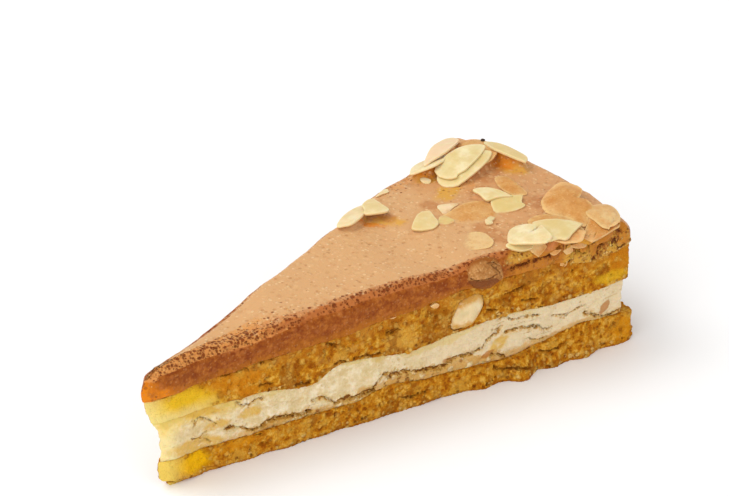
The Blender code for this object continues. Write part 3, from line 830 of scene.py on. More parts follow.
caramel = fine_copy("caramel_topping", "caramel", voxel=0.29, open_top=True)
spots, normals = corners_of(caramel)
along, depth, side = unroll(spots)
share = layer_share(spots, along, side, depth)
x, y, z = spots.T
on_front = side == FRONT_CUT
facing_up = ease(normals[:, 2], 0.1, 0.6)
bed = own_surface(x, y, z, normals[:, 2] > 0.5)
levelled = z - ease(x, LEVEL_FROM, LEVEL_FROM + 6) * np.maximum(z - bed - PROUD, 0)

# The upper edge, rounded over along the two cuts.
inner = np.maximum(EDGE_RADIUS - np.maximum(depth, 0), 0)
upper_part = np.maximum(EDGE_RADIUS - np.maximum(bed - z, 0), 0)
beyond = np.maximum(np.hypot(inner, upper_part) - EDGE_RADIUS, 0) * (side != RIM)
away = np.hypot(inner, upper_part) + 0.01
inward = np.where(on_front[:, None], (math.sin(HALF_ANGLE), math.cos(HALF_ANGLE)),
                  (math.sin(HALF_ANGLE), -math.cos(HALF_ANGLE)))
rounded = np.column_stack([spots[:, :2] + inward * (beyond * inner / away)[:, None],
                           levelled - beyond * upper_part / away])

# Where the bubbles, the skin with its painted sheen, the grains and the broken end by the rim are.
above_edge = depth + np.where(on_front, -1.1 * np.maximum(follow(along, CREASE) - z, 0), 2.0)
patchy = ease(waves(spots, 4.5, 501), -0.35, 0.2)
wide = follow(along, BUBBLE_BAND)
band = (1 - ease(np.abs(above_edge - 0.25 * wide), 0.3 * wide, 1.0 * wide)) * (side != RIM)
band *= np.where(on_front, 0.35 + 0.65 * patchy, 0.15) * (1 - ease(along, 86, 90) * on_front)
grainy = (1 - ease(along + 3 * waves(spots, 5, 502), 14, 42)) * facing_up
grainy *= 1 - ease(above_edge, 4, 9) * ease(along, 8, 30)
on_top = np.maximum(facing_up, ease(z - bed, -0.8, -0.2) * ease(depth, 1.5, 2.5))
# The top, where it faces up, is painted lighter and paler than the cut, as a painted sheen on its skin.
skin = ease(above_edge + 0.5 * waves(spots, 2.0, 503), 0.1, 2.6) * on_top
broken_end = on_front * ease(along, 86, 90) * (1 - ease(above_edge, 0.0, 1.5))
bare = broken_end * ease(follow(along, BROKEN_LIP) + 0.5 * waves(spots, 1.5, 504) - z, -0.4, 0.3)
crumby = np.maximum(bare, ovals(along, z, ((90.3, 30.9, 4.2, 1.5, 8),)) * on_front)
offset, width, groove = draw_lines(along, z + 0.25 * waves(spots, 1.1, 505), CARAMEL_CRACKS)
width *= broken_end
coarse, own = grains(stray(spots, 0.4, 1.2, 520), 1.3, 530)
lower = 1 - ease(share, 0.0, 0.3)
out = 0.05 * waves(spots, 2.4, 540) + 0.03 * waves(spots, 0.9, 541) + 0.08 * band * waves(spots, 1.0, 542)
torn = 0.34 * waves(spots, 3.4, 546) + 0.16 * waves(spots, 1.3, 547)
out += broken_end * (torn - CARAMEL_CRACK_DEPTH * groove * (width > 0))
out += crumby * (0.5 - coarse) * 0.7 * own
moved = rounded + normals * out[:, None]
moved[:, 2] += lower * (0.25 * waves(spots, 2.6, 543) + 0.12 * waves(spots, 1.1, 544))
plan = (x + 0.5 * waves(spots, 2.2, 549), y + 0.6 * waves(spots, 2.5, 550))
paint_cracks(caramel, offset, width)
paint(
    caramel,
    pores=np.maximum(band, 0.65 * grainy * (1 - ease(above_edge, 2.5, 7.0))),
    grainy=grainy,
    skin=skin,
    cut=1 - skin,
    foot=(1 - ease(share + 0.1 * waves(spots, 2.2, 548), 0.05, 0.34)) * (side != RIM),
    band=ease(band, 0.0, 0.5) + 0.7 * grainy * (1 - ease(above_edge, 1.0, 6.0)),
    ruddy=ease(x + 8 * waves(spots, 12, 545), 78, 100) * skin,
    nose=(1 - ease(along + 1.5 * (z - 24.0), -3.0, 7.0)) * (side != RIM),
    thin=broken_end,
    crumby=crumby,
    clear=ovals(along, z, CLEAR_PATCHES) * on_front,
    rosy=ovals(along, z, ROSY_PATCHES) * on_front,
    # Painted glow under the raised slices, with a yellow stain among it.
    honey=ovals(*plan, HONEY_PATCHES),
    amber=ovals(*plan, AMBER_PATCHES),
    # Painted shade beside the slices.
    dusky=ovals(*plan, DUSKY_PATCHES),
)
move_corners(caramel, moved)

# What is left of the edges of the slices that its solid holds is smoothed away.
relax = caramel.modifiers.new("relax", "SMOOTH")
relax.factor = 0.5
relax.iterations = 20
relax.vertex_group = chosen_group(caramel, "levelled", (x > LEVEL_FROM) & (z > bed - 0.6) & (depth > 1.2))
apply_modifiers(caramel)
caramel.data.materials.append(food_finish(
    "caramel", ((128, 56, 8), (148, 75, 15), (176, 102, 36)), patch=2.2, mottle=(0.8, 0.45),
    rough=0.5, bumps=((1.4, 0.16), (0.4, 0.08)),
    tints=(
        ("foot", (176, 104, 20), 0.7, -1.0),
        ("band", (186, 108, 50), 0.8, -1.1),
        ("nose", (226, 130, 10), 0.92, -2.5),
        ("thin", (192, 122, 36), 0.85, -2.0),
        ("rosy", (208, 136, 82), 0.8, -1.5),
        # The skin tint is the top's matt tan with a painted sheen in it.
        ("skin", SKIN_SHADE, 0.96, 1.4),
        ("ruddy", (207, 145, 92), 0.55, -3.0),
        ("band", (190, 114, 58), 0.6, 1.0),
        ("grainy", (216, 146, 76), 0.75, 1.0),
        # The honey and amber tints are painted glow under the raised slices; honey also holds a yellow
        # stain.
        ("honey", (216, 160, 58), 0.8, -1.6),
        ("amber", (216, 126, 20), 0.8, -1.4),
        # Painted shade beside the slices.
        ("dusky", (182, 114, 60), 0.6, -2.0),
        ("crumby", (206, 152, 58), 0.9, 0.8),
        ("clear", (196, 124, 36), 0.85, -1.5),
    ),
    specks=(
        # The light specks on the cut side are painted highlights on its gloss; the dark ones are its own
        # pits.
        ("cut", 1.4, 0.6, 0.35, (178, 104, 50), 0.4, 0.10),
        ("cut", 0.6, 0.5, 0.25, (192, 124, 72), 0.45, 0.06),
        ("cut", 0.9, 0.45, 0.18, (132, 62, 14), 0.5, -0.12),
        ("skin", 1.5, 0.6, 0.30, (224, 178, 126), 0.5, 0.06),
        ("skin", 1.2, 0.6, 0.25, (200, 144, 92), 0.5, -0.06),
        ("skin", 0.8, 0.5, 0.25, (236, 196, 146), 0.7, 0.08),
        ("skin", 0.9, 0.5, 0.16, (184, 124, 70), 0.6, -0.08),
        ("skin", 2.2, 0.12, 0.10, (140, 74, 30), 0.6, -0.06),
        ("grainy", 0.62, 0.5, 0.5, (232, 168, 96), 0.7, 0.12),
        ("grainy", 0.75, 0.42, 0.42, (140, 66, 12), 0.8, -0.25),
        ("pores", 0.85, 0.5, 0.95, (132, 56, 10), 0.9, -0.35),
        ("pores", 0.55, 0.5, 0.75, (140, 64, 16), 0.8, -0.2),
        ("crumby", 0.8, 0.55, 0.45, (238, 196, 116), 0.75, 0.3),
        ("crumby", 0.7, 0.5, 0.35, (140, 72, 10), 0.75, -0.3),
    ),
    lines=(
        (2.4, 0.1, (160, 86, 22), 0.7, -0.1),
        (1.1, 0.0, (104, 44, 4), 0.9, -0.3),
    ),
    glow=0.15, gloss=0.12,
))
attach(caramel, "root")
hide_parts("caramel_topping")


# Sliced almonds.
# Blanched almonds cut across into thin flat slices with crisp edges.  They lie where their solids
# lie or a little lower, on one another or on the caramel, which is drawn up under the proud ones.
SLICE_BEND = 0.012
BARE_THICKNESS = 0.6
DRAWN_UP_WITHIN = 12
DRAWN_UP_BY = 2.4
SEED_STEP = 7.3


def smooth_outline(corners, steps=8):
    """A smooth closed curve through some corners; a corner given twice stays sharp."""
    curve = []
    count = len(corners)
    for index in range(count):
        before, start, end, after = (np.array(corners[(index + shift) % count]) for shift in (-1, 0, 1, 2))
        if np.allclose(start, end):
            continue
        leave = (end - before) / 2
        arrive = (after - start) / 2
        for s in np.arange(steps) / steps:
            curve.append(start * (2 * s ** 3 - 3 * s ** 2 + 1) + end * (3 * s ** 2 - 2 * s ** 3)
                         + leave * (s ** 3 - 2 * s ** 2 + s) + arrive * (s ** 3 - s ** 2))
    return np.array(curve)


def turned(heading, roll, pitch):
    turn = Matrix.Rotation(math.radians(heading), 4, "Z")
    turn = turn @ Matrix.Rotation(math.radians(pitch), 4, "Y")
    return turn @ Matrix.Rotation(math.radians(roll), 4, "X")


def lay(piece, spot, heading, roll, pitch):
    """Turn a piece and lay it down with its middle at a spot in mm, kept in its mesh."""
    place = Matrix.Translation(CAKE_MIDDLE + Vector(spot) * MM)
    piece.data.transform(place @ turned(heading, roll, pitch))


def almond_slice(name, place, outline, thickness, seed, finish):
    """A flat slice laid in its place: rings of corners out to its outline, and a crisp rim."""
    curve = smooth_outline(outline)
    sides = len(curve)
    flat = np.column_stack([curve, np.full(sides, seed * SEED_STEP)])
    curve = curve * (1 + 0.012 * waves(flat, 1.2, 602) + 0.01 * waves(flat, 0.5, 603))[:, None]
    profile = [(fraction, 0.0) for fraction in (0.0, 0.3, 0.55, 0.75, 0.88, 0.95)]
    profile += [(0.975, -0.03), (0.992, -0.14), (1.0, -0.35), (1.0, -0.65), (0.992, -0.86), (0.97, -1.0)]
    profile += [(fraction, -1.0) for fraction in (0.9, 0.5, 0.0)]
    rings = []
    edge = []
    for fraction, level in profile:
        ring = curve * fraction if fraction else np.zeros((1, 2))
        bend = -SLICE_BEND * np.sum(ring ** 2, axis=1)
        spot = np.column_stack([ring, np.full(len(ring), seed * SEED_STEP)])
        ripple = 0.06 * waves(spot, 3.2, 600) + 0.03 * waves(spot, 1.3, 601)
        rings.append(np.column_stack([ring, bend + ripple + level * thickness]))
        edge.append(np.full(len(ring), ease(fraction, 0.8, 1.0)))
    points = np.concatenate(rings)
    last_start = 1 + (len(rings) - 3) * sides
    faces = []
    for corner in range(sides):
        after = (corner + 1) % sides
        faces.append((0, 1 + corner, 1 + after))
        for start in range(1, last_start, sides):
            faces.append((start + corner, start + sides + corner, start + sides + after, start + after))
        faces.append((len(points) - 1, last_start + after, last_start + corner))
    piece = new_piece(name, (points * MM).tolist(), faces)
    paint(piece, edge=np.concatenate(edge))
    piece.data.materials.append(finish)
    lay(piece, *place)
    return piece


def draw_up(spot, heading, roll, pitch, outline, thickness):
    """Draw the caramel up under a slice that lies proud of it, to meet the slice's underside."""
    spots, normals = corners_of(caramel)
    away = spots[:, :2] - np.array(spot[:2])
    near = (np.hypot(away[:, 0], away[:, 1]) < DRAWN_UP_WITHIN) & (normals[:, 2] > 0.3)
    turn = np.array(turned(heading, roll, pitch))[:3, :3]
    slope = -(away[near] @ turn[:2, 2]) / turn[2, 2]
    local = np.column_stack([away[near], slope]) @ turn[:, :2]
    curve = smooth_outline(outline)
    edge = np.interp(np.arctan2(local[:, 1], local[:, 0]), np.arctan2(curve[:, 1], curve[:, 0]),
                     np.hypot(curve[:, 0], curve[:, 1]), period=math.tau)
    reach = np.hypot(local[:, 0], local[:, 1])
    underside = spot[2] + slope - thickness - SLICE_BEND * reach ** 2
    lift = np.clip(underside + 0.1 - spots[near, 2], 0, DRAWN_UP_BY)
    spots[near, 2] += lift * (1 - ease(reach / edge, 0.55, 1.1))
    move_corners(caramel, spots)


def caramel_surface():
    return BVHTree.FromPolygons([corner.co[:] for corner in caramel.data.vertices],
                                [face.vertices[:] for face in caramel.data.polygons])


def above_surface(surface, spots):
    """How far each spot is above the caramel, in mm, and 9 where there is none below it."""
    found = [surface.ray_cast(CAKE_MIDDLE + Vector((px, py, 60)) * MM, Vector((0, 0, -1)))[0]
             for px, py in spots[:, :2]]
    return np.array([height - hit.z / MM if hit else 9 for hit, height in zip(found, spots[:, 2])])


def tone(piece, surface, amber, pink):
    """Store how amber and pink a slice is, its downward rim for painted shade, and where it is sunk in
    caramel.
    """
    spots, normals = corners_of(piece)
    paint(
        piece,
        # The downward-facing rim is darkened as painted shade.
        rim=ease(-normals[:, 2], -0.3, 0.5),
        sunk=1 - ease(above_surface(surface, spots), 0.0, 0.45),
        amber=amber + 0.25 * waves(spots, 4.0, 610),
        pink=np.full(len(spots), pink),
    )


# Each bare slice: place, heading, roll, pitch, how amber, how pink, and its outline in mm.
BARE_FLAKES = (
    ((100.0, 19.4, 33.8), 4, -24, 1, 0.15, 0.2,
     ((-4.8, -2), (-1.8, -3.7), (1.8, -3.3), (6.1, -0.6), (5.1, 1.7), (0.2, 4.2), (-6.2, 0.7))),
    ((105.6, 20.9, 35.1), 10, -16, 2, 0.0, 0.9,
     ((-6.7, -2), (-2.2, -2.8), (2.6, -2.3), (5.7, -0.8), (7.3, 1.8), (6.4, 3.3), (2.9, 3.3), (-1.9, 2.1),
      (-8.9, -1))),
    ((115.7, 9.9, 34.8), -76, -12, 4, 0.6, 0.1,
     ((-4.7, -0.8), (-1.2, -2.1), (3.1, -2.4), (6.3, -1.9), (6.3, -1.9), (5.1, 0.9), (0.8, 1.9),
      (-3.8, 2.6), (-6.4, 1.3))),
    ((103.6, 12.1, 34.4), -2, 3, -11, 0.45, 0.0,
     ((-6.0, 2.3), (-7.5, 0.1), (-7.4, -2.1), (-5.2, -3.8), (-1.0, -3.9), (4.1, -3.1), (7.8, -1.4),
      (8.3, 0.1), (5.2, 3.4), (-1.3, 4.3))),
    ((104.2, 13.8, 35.2), 1, 0, -10, 0.2, 0.0,
     ((-6.8, 0.7), (-6.7, -2), (-5.2, -3.7), (-3.8, -3.3), (-1.4, -3.7), (3.5, -2.8), (7.3, -1.2),
      (8.0, -0.2), (7.1, 1.4), (4.0, 3.3), (-0.7, 3.7), (-5.3, 2.7))),
    ((99.5, -0.9, 34.1), -64, 4, 3, 0.3, 0.0,
     ((-3.7, -0.6), (-2.3, -1.3), (0.0, -2.9), (2.0, -0.9), (4.9, 1.0), (4.9, 1.0), (1.4, 1.9),
      (-1.7, 1.8), (-4.2, 0.3))),
    ((98.2, -22.8, 34.6), -24, 4, 2, 0.5, 0.0,
     ((-4.5, -0.3), (-3.5, -3.8), (-1.3, -3.9), (0.5, -4.6), (3.4, -2.1), (6.6, 0.8), (6.6, 0.8),
      (3.2, 2.8), (-0.3, 4.0), (-2.7, 4.2), (-4.5, 3.7))),
    ((91.4, -20.2, 34.7), -58, 2, -12, 0.1, 0.1,
     ((-3.6, -3.2), (-0.4, -3.8), (4.1, -3.7), (5.5, -2.6), (5.7, -0.9), (5.7, -0.9), (2.5, 3.7),
      (1.9, 1.8), (1.9, 1.8), (-0.2, 4.5), (-3.2, 4.6), (-4.9, 2.9), (-4.7, -0.5))),
    ((80.4, 1.0, 33.7), -62, 3, 6, 0.7, 0.1,
     ((-1.4, -4.0), (0.3, -3.6), (0.3, -3.6), (2.5, -1.9), (3.0, 0.6), (1.3, 2.8), (-0.5, 4.5),
      (-2.3, 2.2), (-2.2, -2.9))),
    ((71.2, 14.7, 33.4), 6, -12, 2, 0.0, 0.3,
     ((-5.6, -1.5), (-3.6, -3.0), (0.7, -2.3), (4.5, -0.1), (6.6, 2.7), (3.4, 2.7), (-0.9, 1.9),
      (-5.9, 0.0))),
    ((76.5, 13.5, 33.95), -42, -4, 2, 0.35, 0.1,
     ((-2.2, -1.4), (-2.0, -3.7), (1.6, -3.0), (3.4, -1.3), (1.8, 1.4), (0.1, 4.6), (0.1, 4.6),
      (-1.1, 3.9), (-2.6, 0.8))),
)
LYING_ON_OTHERS = (2, 5, 7, 8, 11)
almond = food_finish(
    "sliced_almond", ((222, 199, 142), (229, 208, 155), (238, 222, 178)), patch=3.2, mottle=(0.9, 0.15),
    rough=0.5, bumps=((2.4, 0.10), (0.4, 0.01)),
    tints=(
        ("amber", (216, 184, 108), 0.8, 0),
        ("pink", (238, 202, 162), 0.8, -2.5),
        ("edge", (244, 228, 184), 0.35, 0),
        # The rim tint is painted shade on the downward-facing rim.
        ("rim", (206, 156, 76), 0.6, 0),
        ("sunk", SKIN_SHADE, 0.9, 1.2),
    ),
    glow=0.3, gloss=0.15,
)
for number, (*place, amber, pink, outline) in enumerate(BARE_FLAKES, 1):
    if number not in LYING_ON_OTHERS:
        draw_up(*place, outline, BARE_THICKNESS)
surface = caramel_surface()
for number, (*place, amber, pink, outline) in enumerate(BARE_FLAKES, 1):
    flake = almond_slice(f"sliced_almond_{number}", place, outline, BARE_THICKNESS, number, almond)
    tone(flake, surface, amber, pink)
    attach(flake, "root")
    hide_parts(f"almond_flake_{number}")


# Almond fragments.
# Broken bits of the same slices, lying between them.  Each is lowered until its lowest corner is
# sunk in the caramel.
SUNK_BY = 0.1
FRAGMENTS = (
    ((100.0, -5.7, 33.2), 1, 5, -3, 0.7, 0.0,
     ((-3.9, 1.0), (-4.4, -1.1), (-1.3, -3.0), (2.3, -3.3), (2.9, -1.8), (5.1, 0.0), (5.1, 0.0),
      (2.2, 2.3), (-1.1, 3.9))),
    ((89.0, 2.7, 32.9), -32, 0, 0, 0.1, 0.6,
     ((-1.8, -1.0), (-0.9, -3.2), (1.2, -0.5), (3.2, 1.6), (-0.5, 1.8), (-1.9, 1.3))),
    ((84.7, -1.2, 32.9), -80, 0, 0, 1.0, 0.0,
     ((-0.4, -2.1), (1.6, -0.9), (1.7, 1.1), (-0.7, 1.7), (-2.1, 0.7))),
    ((84.7, 18.8, 32.1), 20, 0, 0, 0.0, 0.4,
     ((-0.7, -0.3), (0.8, -1.0), (1.9, -0.1), (0.6, 0.6), (-2.6, 0.6))),
    ((88.5, -20.6, 32.9), -25, 25, 0, 0.4, 0.0,
     ((-2.9, 0.1), (-0.3, -1.4), (2.6, -1.2), (3.1, 0.3), (0.2, 0.6), (-2.5, 1.2))),
    ((91.1, -8.3, 33.4), 0, 5, 5, 0.0, 0.2,
     ((-1.3, -0.9), (0.0, -1.5), (0.6, -0.3), (0.7, 0.3), (-0.5, 0.5))),
    ((92.2, -7.9, 33.1), 0, -8, 5, 0.3, 0.2, ((-0.8, -0.8), (0.9, -0.5), (1.0, 0.9), (-0.3, 0.7))),
    ((95.6, 16.0, 32.0), 0, 5, -5, 0.0, 0.2,
     ((-1.0, -0.3), (-0.4, -1.4), (1.0, -0.7), (0.6, 1.1), (-0.4, 1.4))),
)
for number, (*place, amber, pink, outline) in enumerate(FRAGMENTS, 1):
    flake = almond_slice(f"almond_fragment_{number}", place, outline, BARE_THICKNESS, 50 + number, almond)
    spots = corners_of(flake)[0]
    spots[:, 2] -= max(above_surface(surface, spots).min() + SUNK_BY, 0)
    move_corners(flake, spots)
    tone(flake, surface, amber, pink)
    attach(flake, "root")


# Coated almonds.
# Slices that a thin skin of caramel ran over: thin and tan, pale where the skin is thinnest, and
# bent down towards the caramel that they lie on.
COATED_THICKNESS = 0.4
DRAPE = 0.45
DRAPED_WITHIN = 1.5

# Each coated slice: place, heading, roll, pitch, how pale, and its outline in mm.
COATED_FLAKES = (
    ((111.3, 15.6, 34.9), -34, -4, -4, 0.15,
     ((-4.5, -2.1), (-1.9, -7.3), (2.7, -5.6), (5.3, -0.1), (3.3, 4.5), (0.5, 6.7), (-2.6, 6.4),
      (-3.7, 5.3))),
    ((91.3, -3.2, 33.2), -46, 3, 2, 0.05,
     ((-5.3, -4.7), (-1.8, -5.0), (2.3, -4.4), (5.7, -2.5), (5.7, 2.3), (3.9, 6.0), (0.4, 5.7),
      (-2.6, 3.8), (-5.4, 0.4), (-7.3, -2.0))),
    ((106.6, 0.1, 33.2), -105, 0, 2, 0.1,
     ((-1.2, -2.3), (1.9, -2.2), (4.5, -0.9), (4.8, 1.9), (1.0, 2.0), (-3.2, 1.9), (-5.0, 0.4),
      (-4.6, -1.2))),
    ((100.0, -21.3, 33.8), -64, 0, 0, 0.2,
     ((-1.9, -5.0), (3.1, -6.1), (6.6, -3.8), (6.7, -0.8), (5.8, 1.7), (2.6, 4.3), (-1.2, 5.8),
      (-4.5, 5.4), (-6.8, 3.5), (-7.1, 0.4))),
    ((109.4, -15.4, 34.5), 31, 2, -5, 0.1,
     ((-3.9, 4.7), (-5.6, 3.0), (-6.1, -1.3), (-7.8, -5.5), (-4.6, -6.2), (-0.2, -6.2), (2.3, -3.9),
      (2.3, -3.9), (2.3, -2.2), (2.3, -2.2), (6.7, -1.8), (8.7, 2.0), (8.0, 3.8), (4.5, 5.0),
      (-0.5, 5.9))),
    ((112.4, -24.4, 33.5), 5, 5, 3, 0.6,
     ((-4.2, 0.0), (-4.6, -3.3), (-2.0, -4.6), (1.4, -3.2), (4.0, 0.0), (4.5, 2.4), (3.2, 4.0),
      (0.6, 4.9), (-2.8, 3.6))),
    ((107.9, -26.9, 32.5), -20, 12, 3, 0.0,
     ((-1.8, 2.6), (-4.4, -0.7), (-4.8, -2.5), (-2.8, -4.4), (0.8, -3.8), (3.8, -1.4), (5.0, 0.4),
      (2.6, 3.6), (0.6, 5.2))),
    ((82.6, -12.0, 33.1), -90, 6, -5, 1.0,
     ((-3.9, -1.9), (-1.6, -4.4), (1.8, -3.5), (4.5, 0.1), (3.9, 2.4), (2.0, 3.5), (-1.4, 4.0),
      (-3.9, 1.3))),
)
coated = food_finish(
    "coated_almond", ((202, 134, 64), (211, 148, 80), (220, 164, 98)), patch=3.0, mottle=(0.6, 0.35),
    rough=0.5, bumps=((1.6, 0.14), (0.4, 0.05)),
    tints=(
        ("pale", (230, 192, 136), 0.85, -2.0),
        ("edge", (238, 198, 136), 0.6, -1.5),
        # The rim tint is painted shade on the downward-facing rim.
        ("rim", (216, 160, 98), 0.5, 0),
        ("sunk", SKIN_SHADE, 1.0, 1.0),
    ),
    specks=(
        (None, 0.5, 0.5, 0.16, (232, 190, 136), 0.4, 0.03),
        (None, 0.55, 0.45, 0.14, (190, 132, 78), 0.4, -0.03),
    ),
    glow=0.25, gloss=0.12,
)
for *place, pale, outline in COATED_FLAKES:
    draw_up(*place, outline, COATED_THICKNESS)
surface = caramel_surface()
for number, (*place, pale, outline) in enumerate(COATED_FLAKES, 1):
    flake = almond_slice(f"coated_almond_{number}", place, outline, COATED_THICKNESS, 20 + number, coated)
    spots, normals = corners_of(flake)
    above = above_surface(surface, spots)
    spots[:, 2] -= np.where(above < 9, DRAPE, 0) * np.clip(above, 0, DRAPED_WITHIN)
    move_corners(flake, spots)
    paint(
        flake,
        sunk=1 - ease(above, -0.1, 0.4),
        # The downward-facing rim is darkened as painted shade.
        rim=ease(-normals[:, 2], -0.3, 0.5),
        pale=pale + 0.3 * waves(spots, 4.0, 620),
    )
    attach(flake, "root")


# Almond chips.
# Small broken bits of slice, stuck almost upright in the broken front edge by the rim, and two in
# the cut crumb of the upper sponge.  They are tinted as the coated slices are.
CHIP_THICKNESS = 0.5
FRONT_HEADING = -math.degrees(HALF_ANGLE)


def on_cut(reach, height, outward):
    """A place on the front cut: how far along, how high and how far out, in mm."""
    cosine, sine = math.cos(HALF_ANGLE), math.sin(HALF_ANGLE)
    return reach * cosine - outward * sine, -reach * sine - outward * cosine, height


# Each chip: place along the cut, height, how far out, roll, pitch, and its outline in mm.
CHIPS = (
    (95.2, 31.4, 0.4, 58, 0,
     ((-2.4, 0.8), (-0.6, -1.7), (-0.6, -1.7), (2.0, 0.0), (0.8, 1.6), (0.8, 1.6))),
    (98.9, 30.7, 0.3, 60, 0,
     ((-2.1, 0.2), (-2.1, 0.2), (-0.2, -1.9), (2.0, -0.9), (1.8, 1.4), (-0.4, 1.2))),
    (102.2, 29.6, 0.5, 66, 0,
     ((-1.8, 1.0), (0.0, -1.6), (0.0, -1.6), (1.8, -1.0), (0.6, 1.7), (0.6, 1.7))),
    (105.6, 29.8, 0.3, 60, 10,
     ((-2.5, 0.6), (-1.5, -0.9), (1.8, -1.2), (2.8, 0.5), (2.8, 0.5), (0.2, 1.2))),
    (102.0, 26.8, 0.4, 82, 0,
     ((-0.7, 1.7), (-1.2, -1.4), (-1.2, -1.4), (0.3, -1.9), (1.0, 0.3), (0.7, 1.9))),
    (68.2, 24.6, 0.2, 85, 0, ((-1.1, 0.2), (0.3, -0.6), (1.1, 0.0), (0.1, 0.7))),
    (57.4, 25.1, 0.2, 85, 0, ((-1.0, 0.0), (0.1, -0.4), (1.1, 0.1), (0.0, 0.3))),
)
for number, (*where, roll, pitch, outline) in enumerate(CHIPS, 1):
    place = (on_cut(*where), FRONT_HEADING, roll, pitch)
    chip = almond_slice(f"almond_chip_{number}", place, outline, CHIP_THICKNESS, 70 + number, coated)
    paint(chip, pale=ease(waves(corners_of(chip)[0], 3.0, 640), -0.4, 0.4))
    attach(chip, "root")


# Buried almond.
# Half of a whole almond, caught in the caramel at the front edge and cut with the slice: a beige
# dome above, split by a crack, and a darker wet part that sinks back into the caramel below.
NUT_CRACKS = (
    (0.14, ((76.9, 29.4), (77.8, 28.7), (79.9, 28.7), (82.0, 28.4), (83.4, 28.8))),
    (0.07, ((82.3, 31.4), (83.7, 30.0), (84.8, 27.8))),
    (0.05, ((81.4, 31.9), (83.2, 31.6), (84.8, 30.3))),
)
WET_BELOW = ((76, 29.2), (79.9, 28.6), (82, 28.3), (83.4, 28.2), (85.5, 26.0))


def round_lump(name, subdivisions, radii, place):
    """A ball squashed to its three radii in mm, laid in its place."""
    points, faces = ball_shape(subdivisions)
    piece = new_piece(name, points.tolist(), faces.tolist())
    piece.data.transform(Matrix.Diagonal((*(radius * MM for radius in radii), 1)))
    lay(piece, *place)
    return piece


nut_place = (on_cut(81.0, 29.1, 0.1), FRONT_HEADING, -14, 14)
nut = round_lump("buried_almond", subdivisions=6, radii=(5.1, 1.6, 3.9), place=nut_place)
spots, normals = corners_of(nut)
along, depth, side = unroll(spots)
offset, width, groove = draw_lines(along, spots[:, 2] + 0.2 * waves(spots, 1.2, 701), NUT_CRACKS)
wet = ease(follow(along, WET_BELOW) - spots[:, 2], -0.1, 0.4)
frayed = 0.4 * waves(spots, 1.4, 704)
out = 0.22 * waves(spots, 2.2, 702) + 0.16 * waves(spots, 0.9, 703) - 0.4 * groove * (width > 0)
out -= 0.35 * wet
paint_cracks(nut, offset, width)
paint(
    nut,
    wet=wet,
    dry=1 - wet,
    sunk=np.maximum(ease(depth + frayed, -0.9, 0.0), ease(27.2 + frayed - spots[:, 2], 0.0, 2.0)),
)
move_corners(nut, spots + normals * out[:, None])
nut.data.materials.append(food_finish(
    "buried_almond", ((162, 104, 48), (182, 124, 64), (206, 150, 90)), patch=1.3, mottle=(0.5, 0.4),
    rough=0.5, bumps=((1.2, 0.5), (0.5, 0.25)),
    tints=(("wet", (122, 62, 18), 0.92, 0), ("sunk", (152, 86, 24), 0.95, 0)),
    specks=(("dry", 0.7, 0.5, 0.4, (220, 168, 108), 0.6, 0.08),),
    lines=(
        (2.2, 0.1, (160, 98, 50), 0.6, -0.1),
        (0.9, 0.0, (118, 62, 20), 0.8, -0.2),
    ),
    glow=0.2, gloss=0.15,
))
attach(nut, "root")


# Dark crumb.
# One hard crumb baked black, a squashed ball with a rough skin.  It is stuck in the caramel near
# the rim, behind the stacked slices.
crumb_place = ((116.0, 17.8, 33.85), 30, 0, 0)
crumb = round_lump("dark_crumb", subdivisions=3, radii=(0.65, 0.5, 0.4), place=crumb_place)
spots, normals = corners_of(crumb)
move_corners(crumb, spots + normals * (0.12 * waves(spots, 0.5, 801))[:, None])
crumb.data.materials.append(food_finish(
    "dark_crumb", ((44, 24, 12), (70, 40, 20)), patch=0.5, mottle=(0.2, 0.3),
    rough=0.6, bumps=((0.3, 0.1),),
))
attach(crumb, "root")


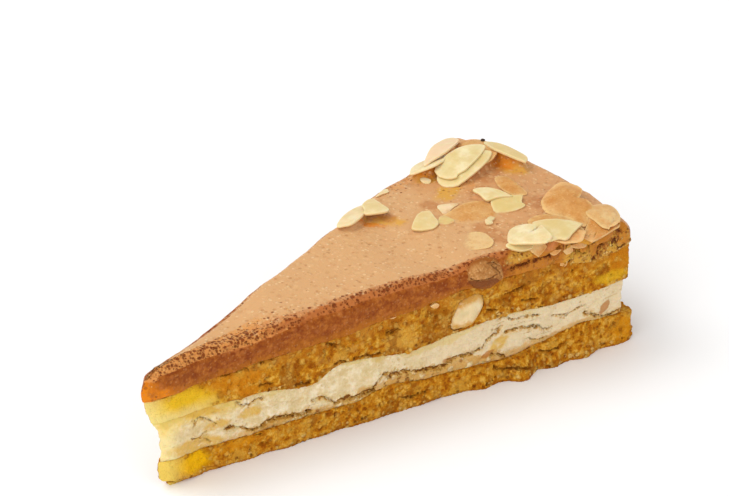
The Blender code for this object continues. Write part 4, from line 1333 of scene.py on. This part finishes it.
# Floor, light and camera.
# A plain pale floor, three large soft lights in a white room, from above, the left and the front,
# and the photograph's viewpoint.
FLOOR_HALF = 4.0
LAMPS = (
    ("overhead", (-0.35, 0.45, 1.0), 0.7, 5.0),
    ("left", (-1.0, -0.25, 0.6), 0.9, 3.6),
    ("front", (-0.2, -1.2, 0.45), 0.9, 2.4),
)
AZIMUTH = math.radians(-44.33)
ELEVATION = math.radians(31.13)
DISTANCE = 1.0
LENS = 220.97
SLICE_MIDDLE = Vector((60, 0, 15))
AIM_RIGHT, AIM_UP = 0.4, 17.5

floor = new_piece("floor", [(-FLOOR_HALF, -FLOOR_HALF, 0), (FLOOR_HALF, -FLOOR_HALF, 0),
                            (FLOOR_HALF, FLOOR_HALF, 0), (-FLOOR_HALF, FLOOR_HALF, 0)], [(0, 1, 2, 3)])
pale = bpy.data.materials.new("pale_floor")
pale.use_nodes = True
pale.node_tree.nodes["Principled BSDF"].inputs["Base Color"].default_value = (0.97, 0.97, 0.97, 1)
pale.node_tree.nodes["Principled BSDF"].inputs["Roughness"].default_value = 0.9
floor.data.materials.append(pale)

for name, place, size, power in LAMPS:
    lamp = bpy.data.lights.new(name, "AREA")
    lamp.size = size
    lamp.energy = power
    light = bpy.data.objects.new(name, lamp)
    light.location = place
    light.rotation_euler = (-Vector(place)).to_track_quat("-Z", "Y").to_euler()
    bpy.context.scene.collection.objects.link(light)
world = bpy.data.worlds.new("soft_room")
world.use_nodes = True
world.node_tree.nodes["Background"].inputs["Color"].default_value = (1, 1, 1, 1)
world.node_tree.nodes["Background"].inputs["Strength"].default_value = 0.7
bpy.context.scene.world = world
bpy.context.scene.view_settings.view_transform = "Standard"

backward = Vector((math.sin(AZIMUTH) * math.cos(ELEVATION), -math.cos(AZIMUTH) * math.cos(ELEVATION),
                   math.sin(ELEVATION)))
rightward = Vector((math.cos(AZIMUTH), math.sin(AZIMUTH), 0))
upward = backward.cross(rightward)
lens = bpy.data.cameras.new("camera")
lens.sensor_width = 36
lens.lens = LENS
lens.clip_start = 0.05
camera = bpy.data.objects.new("camera", lens)
middle = CAKE_MIDDLE + SLICE_MIDDLE * MM
camera.location = middle + backward * DISTANCE
target = middle + (rightward * AIM_RIGHT + upward * AIM_UP) * MM
camera.rotation_euler = (target - camera.location).to_track_quat("-Z", "Y").to_euler()
bpy.context.scene.collection.objects.link(camera)
bpy.context.scene.camera = camera
